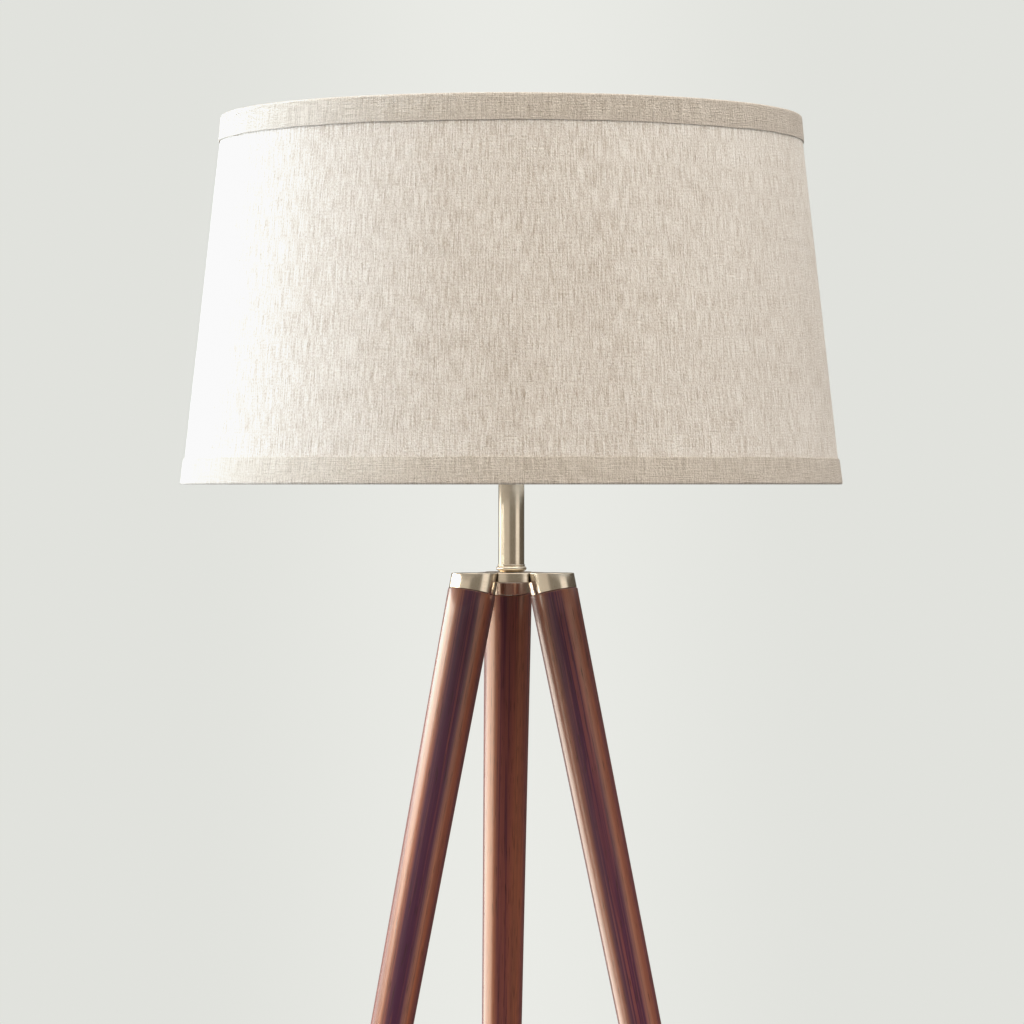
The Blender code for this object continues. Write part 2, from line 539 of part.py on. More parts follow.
def build_holder(axis):
    """The lamp holder: cap, shell, card liner, switch body, screw shell, contact, and the knob on its shaft."""
    liner_inner = HOLDER_LINER_RADIUS - LINER_SLEEVE_WALL
    cap_top = CAP_BOTTOM + CAP_HEIGHT
    cap = [
        (PIPE_CLEARANCE_RADIUS, CAP_BOTTOM),
        (HOLDER_RADIUS - CAP_FLOOR, CAP_BOTTOM),
        (HOLDER_RADIUS, CAP_BOTTOM + CAP_FLOOR),
        (HOLDER_RADIUS, cap_top),
        (HOLDER_RADIUS - HOLDER_WALL, cap_top),
        (HOLDER_RADIUS - HOLDER_WALL, CAP_BOTTOM + 2 * CAP_FLOOR),
        (HOLDER_RADIUS - 2 * CAP_FLOOR, CAP_BOTTOM + CAP_FLOOR),
        (PIPE_CLEARANCE_RADIUS, CAP_BOTTOM + CAP_FLOOR),
    ]
    turned_object("socket_cap", cap, ROUND_SEGMENTS, BRASS, axis)

    shell_top = SHELL_BOTTOM + SHELL_HEIGHT
    shell = turned_object(
        "socket_shell",
        tube(HOLDER_RADIUS - HOLDER_WALL, HOLDER_RADIUS, SHELL_BOTTOM, shell_top),
        ROUND_SEGMENTS,
        BRASS,
        axis,
    )
    card = turned_object(
        "socket_liner",
        tube(liner_inner, HOLDER_LINER_RADIUS, SHELL_BOTTOM, shell_top),
        ROUND_SEGMENTS,
        CARD,
        axis,
    )
    body = turned_object(
        "switch_body",
        rod(SWITCH_BODY_RADIUS, SHELL_BOTTOM, SWITCH_BODY_TOP),
        ROUND_SEGMENTS,
        PHENOLIC,
        axis,
    )

    # The switch's shaft runs along -Y, so its empty turns local +Z to -Y.
    shaft_end = SWITCH_BODY_RADIUS - SHAFT_IN_BODY
    knob_start = HOLDER_RADIUS + GAP
    switch_axis = add_empty("switch_axis", axis, (0, 0, SHAFT_LEVEL), (math.radians(90), 0, 0))
    shaft_hole = rod(SHAFT_RADIUS + RUNNING_GAP, shaft_end - GAP, 1.5 * HOLDER_RADIUS)
    helper = cutter_of("cut_shaft", shaft_hole, SMALL_SEGMENTS, switch_axis)
    for piece in (shell, card, body):
        apply_boolean(piece, helper)
    shaft_outer = knob_start + KNOB_LENGTH / 2
    shaft = rod(SHAFT_RADIUS, shaft_end, shaft_outer)
    turned_object("switch_shaft", shaft, SMALL_SEGMENTS, BRASS, switch_axis)
    knob_end = knob_start + KNOB_LENGTH
    knob = [
        (0, shaft_outer + GAP),
        (SHAFT_RADIUS + GAP, shaft_outer + GAP),
        (SHAFT_RADIUS + GAP, knob_start),
        (KNOB_RADIUS, knob_start),
        (KNOB_RADIUS, knob_end - KNOB_EDGE),
        (KNOB_RADIUS - KNOB_EDGE, knob_end),
        (0, knob_end),
    ]
    turned_object("switch_knob", knob, SMALL_SEGMENTS, PHENOLIC, switch_axis)

    screw_shell_top = SCREW_SHELL_BOTTOM + SCREW_SHELL_HEIGHT
    floor_top = SCREW_SHELL_BOTTOM + SCREW_SHELL_WALL
    screw_shell = [
        (CONTACT_RADIUS + GAP, SCREW_SHELL_BOTTOM),
        (SCREW_SHELL_RADIUS, SCREW_SHELL_BOTTOM),
        (SCREW_SHELL_RADIUS, screw_shell_top),
        (SCREW_SHELL_RADIUS - SCREW_SHELL_WALL, screw_shell_top),
        (SCREW_SHELL_RADIUS - SCREW_SHELL_WALL, floor_top),
        (CONTACT_RADIUS + GAP, floor_top),
    ]
    turned_object("screw_shell", screw_shell, ROUND_SEGMENTS, ZINC, axis)
    contact = rod(CONTACT_RADIUS, SWITCH_BODY_TOP + GAP, CONTACT_TOP)
    turned_object("centre_contact", contact, SMALL_SEGMENTS, BRASS, axis)


def build_bulb(axis):
    """The bulb's metal cap, and its glass: a short neck that flares into a ball, open at the bottom."""
    shoulder = BULB_CAP_BOTTOM + BULB_TIP_HEIGHT
    cap = [
        (0, BULB_CAP_BOTTOM),
        (BULB_TIP_RADIUS, BULB_CAP_BOTTOM),
        (BULB_TIP_RADIUS, shoulder),
        (BULB_CAP_RADIUS, shoulder + BULB_TIP_RADIUS),
        (BULB_CAP_RADIUS, shoulder + BULB_CAP_HEIGHT),
        (0, shoulder + BULB_CAP_HEIGHT),
    ]
    turned_object("bulb_cap", cap, ROUND_SEGMENTS, ZINC, axis)

    centre = BULB_GLASS_BOTTOM + BULB_HEIGHT - BULB_RADIUS
    inner_neck = BULB_NECK_RADIUS - BULB_WALL
    outer_ball = arc((0, centre), BULB_RADIUS, -35, 90, 7)
    inner_ball = arc((0, centre), BULB_RADIUS - BULB_WALL, 90, -35, 7)
    waist = BULB_GLASS_BOTTOM + 0.35 * (centre - BULB_GLASS_BOTTOM)
    waist_radius = BULB_NECK_RADIUS + 0.35 * (BULB_RADIUS - BULB_NECK_RADIUS)
    profile = [
        (0, centre + BULB_RADIUS - BULB_WALL),
        *inner_ball[1:],
        (waist_radius - BULB_WALL, waist),
        (inner_neck, BULB_GLASS_BOTTOM),
        (BULB_NECK_RADIUS, BULB_GLASS_BOTTOM),
        (waist_radius, waist),
        *outer_ball[:-1],
        (0, centre + BULB_RADIUS),
    ]
    turned_object("bulb_globe", profile, ROUND_SEGMENTS, BULB_GLASS, axis)


def fabric_radius(height):
    """The radius of the fabric's outer face at a height above the floor."""
    return SHADE_TOP_RADIUS + SHADE_TAPER * (FABRIC_TOP - height)


def trim_profile(edge, inward):
    """A binding folded over a rim: a wide band outside, the fold, and a short turn-in.

    Args: edge is the rim's outer level, and inward is -1 below a top rim and +1 above a bottom rim.
    """
    fold = edge + inward * TRIM_WALL
    band_end = edge + inward * TRIM_WIDTH
    turn_end = edge + inward * TRIM_TURN_IN
    inside = ring_circle(inward) - RING_WIRE_RADIUS - GAP
    lean = max(0.0, inward * SHADE_TAPER * TRIM_TURN_IN)
    outer = GAP + TRIM_WALL
    return [
        (fabric_radius(band_end) + outer, band_end),
        (fabric_radius(edge) + outer, edge),
        (inside - lean - TRIM_WALL, edge),
        (inside - lean - TRIM_WALL, turn_end),
        (inside - lean, turn_end),
        (inside - lean, fold),
        (fabric_radius(fold) + GAP, fold),
        (fabric_radius(band_end) + GAP, band_end),
    ]


def ring_level(inward):
    """The height of a wire ring's centre: -1 gives the top ring, +1 the bottom ring."""
    rim = FABRIC_TOP if inward < 0 else FABRIC_BOTTOM
    return rim + inward * RING_WIRE_RADIUS


def ring_circle(inward):
    """The radius of a wire ring's centre line, just inside the liner."""
    narrowest = ring_level(inward) + RING_WIRE_RADIUS
    walls = FABRIC_WALL + GAP + LINER_WALL + GAP
    return fabric_radius(narrowest) - walls - RING_WIRE_RADIUS


def build_shade(axis):
    """The shade: fabric, stiff liner, folded bindings, two wire rings, and the spider. It turns on the stud."""
    pivot = add_empty("shade_pivot", axis, (0, 0, SPIDER_BOTTOM))

    def shell(name, outer_offset, wall, finish):
        top = fabric_radius(FABRIC_TOP) - outer_offset
        bottom = fabric_radius(FABRIC_BOTTOM) - outer_offset
        profile = [
            (bottom - wall, FABRIC_BOTTOM),
            (bottom, FABRIC_BOTTOM),
            (top, FABRIC_TOP),
            (top - wall, FABRIC_TOP),
        ]
        place_turned(name, profile, SHADE_SEGMENTS, finish)

    def place_turned(name, profile, segments, finish):
        lowered = [(radius, height - SPIDER_BOTTOM) for radius, height in profile]
        turned_object(name, lowered, segments, finish, pivot)

    shell("shade_fabric", 0, FABRIC_WALL, LINEN)
    shell("shade_liner", FABRIC_WALL + GAP, LINER_WALL, STYRENE)
    for name, edge, inward in (("top", SHADE_TOP, -1), ("bottom", SHADE_BOTTOM, 1)):
        place_turned(f"{name}_trim", trim_profile(edge, inward), SHADE_SEGMENTS, LINEN)
        centre = (ring_circle(inward), ring_level(inward))
        section = arc(centre, RING_WIRE_RADIUS, 0, 300, 5)
        place_turned(f"{name}_ring", section, SHADE_SEGMENTS, WIRE)

    washer = tube(HARP_STUD_RADIUS + RUNNING_GAP, SPIDER_WASHER_RADIUS, SPIDER_BOTTOM, SPIDER_TOP)
    place_turned("spider_washer", washer, ROUND_SEGMENTS, WIRE)
    level = -SPIDER_ARM_RADIUS + SPIDER_WASHER_THICKNESS
    ring = ring_circle(-1)
    under_ring = ring_level(-1) - RING_WIRE_RADIUS - GAP - SPIDER_BOTTOM
    inner = SPIDER_WASHER_RADIUS + GAP
    for name, angle in SPIDER_ARM_ANGLES.items():
        outward = Vector((math.cos(angle), math.sin(angle), 0))
        path = [
            outward * inner + Vector((0, 0, level)),
            outward * (ring - SPIDER_ARM_STEP) + Vector((0, 0, level)),
            outward * ring + Vector((0, 0, level + SPIDER_ARM_STEP)),
            outward * ring + Vector((0, 0, under_ring)),
        ]
        wire_object(f"spider_arm_{name}", path, SPIDER_ARM_RADIUS, WIRE, pivot)


def build_finial(axis):
    """The finial: a small turned knob with a blind bore for the harp's stud."""
    pivot = add_empty("finial_axis", axis, (0, 0, SPIDER_TOP + RUNNING_GAP))
    bore = HARP_STUD_RADIUS + GAP
    depth = HARP_STUD_LENGTH
    knob_level = FINIAL_HEIGHT - FINIAL_KNOB_RADIUS
    knob = arc((0, knob_level), FINIAL_KNOB_RADIUS, -45, 90, 6)
    profile = [
        (0, depth),
        (bore, depth),
        (bore, 0),
        (FINIAL_BASE_RADIUS, 0),
        (FINIAL_BASE_RADIUS, 0.002),
        (FINIAL_WAIST_RADIUS, 0.003),
        (FINIAL_WAIST_RADIUS, 0.005),
        *knob[:-1],
        (0, FINIAL_HEIGHT),
    ]
    turned_object("finial", profile, SMALL_SEGMENTS, NICKEL, pivot)


def main():
    """Builds the whole lamp."""
    clear_scene()
    axis = add_empty("lamp_axis", location=(0, LAMP_AXIS_Y, 0))
    leg_axes = {
        name: add_empty(
            f"leg_axis_{name}",
            axis,
            Matrix.Rotation(angle, 3, "Z") @ Vector((LEG_CIRCLE_RADIUS, 0, HUB_TOP)),
            (0, -SPLAY, angle),
        )
        for name, angle in LEG_ANGLES.items()
    }
    build_hub(axis, leg_axes)
    for name, leg_axis in leg_axes.items():
        build_leg(name, leg_axis, axis)
    build_neck(axis)
    build_harp(axis)
    build_holder(axis)
    build_bulb(axis)
    build_shade(axis)
    build_finial(axis)


main()
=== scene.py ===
"""A tripod floor lamp with a tapered linen drum shade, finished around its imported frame.

Every sub-assembly is a class that holds its own sizes in metres, works out its surfaces with numpy
and dresses them. A surface is a grid of points: one direction goes along a profile or a path, and
the other goes round it.
"""

import logging
import math
from dataclasses import dataclass, field
from enum import Enum

import bpy
import numpy as np
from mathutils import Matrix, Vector


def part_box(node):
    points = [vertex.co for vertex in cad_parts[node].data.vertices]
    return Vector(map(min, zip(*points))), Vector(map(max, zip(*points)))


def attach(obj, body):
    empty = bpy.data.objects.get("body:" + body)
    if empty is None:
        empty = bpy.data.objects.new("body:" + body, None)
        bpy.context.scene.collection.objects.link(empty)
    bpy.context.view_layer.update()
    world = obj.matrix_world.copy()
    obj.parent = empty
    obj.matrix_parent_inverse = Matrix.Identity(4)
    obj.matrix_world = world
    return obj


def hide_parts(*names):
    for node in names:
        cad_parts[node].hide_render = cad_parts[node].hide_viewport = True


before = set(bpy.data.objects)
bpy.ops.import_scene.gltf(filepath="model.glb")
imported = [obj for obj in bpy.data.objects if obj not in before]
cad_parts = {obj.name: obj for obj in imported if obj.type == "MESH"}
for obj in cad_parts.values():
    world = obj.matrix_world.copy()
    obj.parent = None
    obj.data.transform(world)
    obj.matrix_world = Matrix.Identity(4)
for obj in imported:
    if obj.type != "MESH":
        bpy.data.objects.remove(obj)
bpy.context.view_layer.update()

LOG = logging.getLogger("floor_lamp")
Array = np.ndarray
Colour = tuple[float, float, float]


def node_low(node: str) -> Array:
    """The lowest corner of a frame node, in metres."""
    return np.array(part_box(node)[0])


def node_high(node: str) -> Array:
    """The highest corner of a frame node, in metres."""
    return np.array(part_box(node)[1])


LAMP_AXIS_Y = float(node_low("neck_tube")[1] + node_high("neck_tube")[1]) / 2
HUB_TOP = float(node_high("hub_plate")[2])
SPLAY = math.atan(0.2216)
BACK = math.pi / 2  # the angle of the lamp's back, where the seams lie
THREAD_PITCH = 0.00094
THREAD_DEPTH = 0.0002


class Body(str, Enum):
    """The moving bodies of the lamp."""

    STAND = "stand"
    SWITCH = "switch"
    SLEEVE_LEFT = "sleeve_left"
    SLEEVE_RIGHT = "sleeve_right"
    SHADE = "shade"
    FINIAL = "finial"


class Role(Enum):
    """What a lamp of the studio does: it lights matt things, it shows in shiny ones, or both."""

    MATT = (True, False)
    SHINE = (False, True)
    BOTH = (True, True)


class LegSide(Enum):
    """Where a leg stands round the lamp, as the angle of its foot from +X."""

    REAR = math.radians(90)
    LEFT = math.radians(210)
    RIGHT = math.radians(330)

    @property
    def word(self) -> str:
        """The side's name as it ends the leg's node names."""
        return self.name.lower()


# ---------------------------------------------------------------- surfaces


@dataclass
class Surface:
    """Faces that are still being put together.

    points are in metres in the lamp's frame, and stock is the same point in the piece's own
    frame before it was placed, which its finish reads. corners are the flat coordinates of each
    face corner, in metres along the surface.
    """

    points: Array
    quads: Array
    quad_corners: Array
    tris: Array = field(default_factory=lambda: np.zeros((0, 3), int))
    tri_corners: Array = field(default_factory=lambda: np.zeros((0, 3, 2)))
    stock: Array | None = None

    def __post_init__(self) -> None:
        """Takes the points themselves as the stock where none is given."""
        if self.stock is None:
            self.stock = self.points.copy()

    def placed(self, origin: Array, axes: Array) -> "Surface":
        """The surface moved so that its own axes lie along other ones.

        Args:
            origin: where its own origin goes.
            axes: the three directions that its own axes take, as rows.

        Returns:
            The moved surface, with its stock left as it is.
        """
        return Surface(
            self.points @ axes + origin,
            self.quads,
            self.quad_corners,
            self.tris,
            self.tri_corners,
            self.stock,
        )

    def shifted(self, x: float = 0.0, y: float = 0.0) -> "Surface":
        """The surface moved level by that much, with its stock left as it is."""
        return self.placed(np.array([x, y, 0.0]), np.eye(3))


def joined(*parts: Surface) -> Surface:
    """Puts surfaces together without joining their points.

    Args:
        parts: the surfaces.

    Returns:
        One surface that holds them all.
    """
    starts = np.cumsum([0] + [len(p.points) for p in parts[:-1]])
    return Surface(
        np.concatenate([p.points for p in parts]),
        np.concatenate([p.quads + s for p, s in zip(parts, starts)]),
        np.concatenate([p.quad_corners for p in parts]),
        np.concatenate([p.tris + s for p, s in zip(parts, starts)]),
        np.concatenate([p.tri_corners for p in parts]),
        np.concatenate([p.stock for p in parts]),
    )


def grid_surface(grid: Array, u: Array, v: Array, loop_rows: bool = False) -> Surface:
    """A surface over a grid of points, whose last column joins its first. Each face joins four
    neighbours, and a row that shrinks to one point becomes a pole with a fan of triangles.

    Args:
        grid: points of shape (rows, columns, 3). Along a row they go anticlockwise about the
            outward side of the direction in which the rows follow each other.
        u: flat coordinate of each column, and of the first one again at the end.
        v: flat coordinate of each row, one longer than the rows where they close.
        loop_rows: the last row joins the first.

    Returns:
        The surface.
    """
    rows, columns = grid.shape[:2]
    index = np.arange(rows * columns).reshape(rows, columns)
    spread = np.abs(grid - grid[:, :1]).max(axis=(1, 2))
    pole = spread < 1e-7
    index[pole] = index[pole][:, :1]
    if loop_rows:
        index = np.vstack([index, index[:1]])
        pole = np.append(pole, pole[0])
    index = np.hstack([index, index[:, :1]])
    face = np.stack([index[:-1, :-1], index[:-1, 1:], index[1:, 1:], index[1:, :-1]], axis=-1)
    flat_u, flat_v = np.meshgrid(u, v)
    flat = np.stack([flat_u, flat_v], axis=-1)
    corner = np.stack([flat[:-1, :-1], flat[:-1, 1:], flat[1:, 1:], flat[1:, :-1]], axis=2)
    below, above = pole[:-1], pole[1:]
    plain = ~(below | above)
    quads, quad_corners = face[plain].reshape(-1, 4), corner[plain].reshape(-1, 4, 2)
    from_pole, to_pole = below & ~above, above & ~below
    tris = np.concatenate([
        face[from_pole][..., [0, 2, 3]].reshape(-1, 3),
        face[to_pole][..., :3].reshape(-1, 3),
    ])
    tri_corners = np.concatenate([
        corner[from_pole][..., [0, 2, 3], :].reshape(-1, 3, 2),
        corner[to_pole][..., :3, :].reshape(-1, 3, 2),
    ])
    used = np.unique(np.concatenate([quads.ravel(), tris.ravel()]))
    back = np.zeros(rows * columns, int)
    back[used] = np.arange(len(used))
    return Surface(grid.reshape(-1, 3)[used], back[quads], quad_corners, back[tris], tri_corners)


def eased(corners: list[tuple[float, float, float]], steps: int = 5, closed: bool = False) -> Array:
    """A line through the corners with each one rounded: a parabola that leaves the corner's two
    sides at its ease from the corner, halfway between its tangents in the middle.

    Args:
        corners: (radius, height, ease) of each corner. An ease of 0 keeps it sharp.
        steps: points on each rounding.
        closed: the last corner joins the first.

    Returns:
        The line's points, of shape (n, 2).
    """
    table = np.array(corners, float)
    spot, ease = table[:, :2], table[:, 2:]
    before = np.roll(spot, 1, axis=0) - spot
    after = np.roll(spot, -1, axis=0) - spot
    if not closed:
        ease[[0, -1]] = 0
        before[0], after[-1] = after[0], before[-1]
    before /= np.maximum(np.linalg.norm(before, axis=1, keepdims=True), 1e-12)
    after /= np.maximum(np.linalg.norm(after, axis=1, keepdims=True), 1e-12)
    t = np.linspace(0, 1, steps)[None, :, None]
    start, middle, end = (spot + before * ease)[:, None], spot[:, None], (spot + after * ease)[:, None]
    line = ((1 - t) ** 2 * start + 2 * t * (1 - t) * middle + t**2 * end).reshape(-1, 2)
    keep = np.ones(len(line), bool)
    keep[1:] = np.linalg.norm(np.diff(line, axis=0), axis=1) > 1e-8
    if closed and np.linalg.norm(line[0] - line[-1]) < 1e-8:
        keep[-1] = False
    return line[keep]


def lengths_along(points: Array, closed: bool = False) -> Array:
    """How far along a line each of its points is, as the sum of the steps before it.

    Args:
        points: the line's points.
        closed: adds the way back to the first point at the end.

    Returns:
        The distances, in metres.
    """
    line = np.vstack([points, points[:1]]) if closed else points
    return np.concatenate([[0.0], np.cumsum(np.linalg.norm(np.diff(line, axis=0), axis=1))])


def turned(profile: Array, around: int = 96, closed: bool = False) -> Surface:
    """A surface of revolution about the Z axis: a point at angle a is (r cos a, r sin a, z) for
    each (r, z) of the profile, which goes up where it is on the outside.

    Args:
        profile: (radius, height) points.
        around: faces round the axis.
        closed: the profile's end joins its start, as for a ring or a tube.

    Returns:
        The surface, in its own frame, with the seam of its flat coordinates at the back.
    """
    angle = BACK + np.linspace(0, 2 * math.pi, around, endpoint=False)
    r, z = profile[:, :1], profile[:, 1:]
    grid = np.stack([r * np.cos(angle), r * np.sin(angle), z + 0 * angle], axis=-1)
    u = np.linspace(0, 2 * math.pi, around + 1) * float(profile[:, 0].max())
    return grid_surface(grid, u, lengths_along(profile, closed), loop_rows=closed)


def rod_along(path: Array, radius: float, side: Array, around: int = 20, ease: float = 0.0004) -> Surface:
    """A round rod along a path that lies in a plane, with closed ends whose edges are eased by a
    quarter circle. Each ring stands square to the path: its point at angle a is the path's point
    plus r (cos a side + sin a (tangent x side)).

    Args:
        path: (n, 3) points of the rod's middle line.
        radius: of the rod.
        side: unit vector square to the path's plane.
        around: faces round the rod.
        ease: radius of the ends' edges.

    Returns:
        The surface.
    """
    quarter = np.linspace(0, math.pi / 2, 4)
    inset = np.concatenate([[0.0], ease * (1 - np.cos(quarter))])
    narrow = np.concatenate([[0.0], radius - ease * (1 - np.sin(quarter))])
    first = path[1] - path[0]
    first = first / np.linalg.norm(first)
    last = path[-1] - path[-2]
    last = last / np.linalg.norm(last)
    head = path[0] + inset[:, None] * first
    tail = (path[-1] - inset[:, None] * last)[::-1]
    line = np.vstack([head, path[1:-1], tail])
    width = np.concatenate([narrow, np.full(len(path) - 2, radius), narrow[::-1]])
    tangent = np.gradient(line, axis=0)
    tangent[:2], tangent[-2:] = first, last
    tangent /= np.linalg.norm(tangent, axis=1, keepdims=True)
    other = np.cross(tangent, side)
    angle = np.linspace(0, 2 * math.pi, around, endpoint=False)[None, :, None]
    grid = line[:, None] + width[:, None, None] * (np.cos(angle) * side + np.sin(angle) * other[:, None])
    u = np.linspace(0, 2 * math.pi, around + 1) * radius
    return grid_surface(grid, u, lengths_along(line))


def bezier(points: list[tuple[float, float, float]], steps: int) -> Array:
    """A cubic curve drawn towards its two middle points: the sum of the four points, each times
    its Bernstein weight.

    Args:
        points: the curve's start, its two middle points and its end.
        steps: how many points it gives.

    Returns:
        (steps, 3) points of the curve.
    """
    p = np.array(points, float)
    t = np.linspace(0, 1, steps)[:, None]
    return (1 - t) ** 3 * p[0] + 3 * t * (1 - t) ** 2 * p[1] + 3 * t**2 * (1 - t) * p[2] + t**3 * p[3]


def ripple(angle: Array, counts: tuple[int, ...], seed: int) -> Array:
    """A gentle unevenness round a ring, about -1 to 1: a sum of sines that each fit a whole number
    of times round it, with shrinking heights and fixed shifts.

    Args:
        angle: angles round the ring.
        counts: how many times each sine fits.
        seed: picks the shifts.

    Returns:
        The unevenness at each angle.
    """
    shift = np.random.default_rng(seed).uniform(0, 2 * math.pi, len(counts))
    height = 1 / np.sqrt(np.arange(1, len(counts) + 1))
    waves = height * np.sin(np.array(counts) * angle[..., None] + shift)
    return waves.sum(axis=-1) / height.sum()


def thread(radius: float, z: Array) -> Array:
    """The outline of a threaded rod, whose radius saws with the height by the thread's depth.

    Args:
        radius: over the thread's crests.
        z: heights.

    Returns:
        (radius, height) points.
    """
    saw = THREAD_DEPTH * (np.abs((z / THREAD_PITCH) % 1 - 0.5) * 2 - 1)
    return np.stack([radius + saw, z], axis=-1)


# ---------------------------------------------------------------- pieces


def mesh_object(name: str, surface: Surface, sharp: float = 40.0) -> bpy.types.Object:
    """Makes an object of a surface, at the origin, with its flat and stock coordinates.

    Args:
        name: the piece's name.
        surface: its points and faces.
        sharp: faces that meet at more than this many degrees keep a crisp edge.

    Returns:
        The new object, linked to the scene.
    """
    mesh = bpy.data.meshes.new(name)
    corners = np.concatenate([surface.quads.ravel(), surface.tris.ravel()]).astype(np.int32)
    sizes = np.concatenate([np.full(len(surface.quads), 4), np.full(len(surface.tris), 3)])
    starts = np.concatenate([[0], np.cumsum(sizes)[:-1]]).astype(np.int32)
    mesh.vertices.add(len(surface.points))
    mesh.vertices.foreach_set("co", surface.points.astype(np.float32).ravel())
    mesh.loops.add(len(corners))
    mesh.loops.foreach_set("vertex_index", corners)
    mesh.polygons.add(len(sizes))
    mesh.polygons.foreach_set("loop_start", starts)
    mesh.update(calc_edges=True)
    mesh.validate()
    flat = mesh.uv_layers.new(name="flat")
    uv = np.concatenate([surface.quad_corners.reshape(-1, 2), surface.tri_corners.reshape(-1, 2)])
    flat.data.foreach_set("uv", uv.astype(np.float32).ravel())
    stock = mesh.attributes.new("stock", "FLOAT_VECTOR", "POINT")
    stock.data.foreach_set("vector", surface.stock.astype(np.float32).ravel())
    mesh.shade_smooth()
    mesh.set_sharp_from_angle(angle=math.radians(sharp))
    obj = bpy.data.objects.new(name, mesh)
    bpy.context.scene.collection.objects.link(obj)
    return obj


def add_piece(
    name: str,
    surface: Surface,
    finish: "Finish",
    body: Body,
    stands_for: tuple[str, ...] = (),
    sharp: float = 40.0,
) -> bpy.types.Object:
    """Makes a finished piece that moves with a body of the lamp.

    Args:
        name: the piece's name.
        surface: its surface, already in place.
        finish: what it is made of.
        body: the body it rides on.
        stands_for: the frame nodes that it replaces.
        sharp: see mesh_object.

    Returns:
        The piece.
    """
    obj = mesh_object(name, surface, sharp)
    obj.data.materials.append(finish.material())
    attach(obj, body.value)
    if stands_for:
        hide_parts(*stands_for)
    LOG.info("piece %s: %d faces, %s", name, len(obj.data.polygons), body.value)
    return obj


def dress_node(node: str, finish: "Finish") -> None:
    """Gives a frame node that keeps its own shape a finish in place of its plain one.

    Args:
        node: the node's name.
        finish: what it is made of.
    """
    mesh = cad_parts[node].data
    mesh.materials.clear()
    mesh.materials.append(finish.material())
    LOG.info("frame node %s: %s", node, type(finish).__name__)


# ---------------------------------------------------------------- finishes


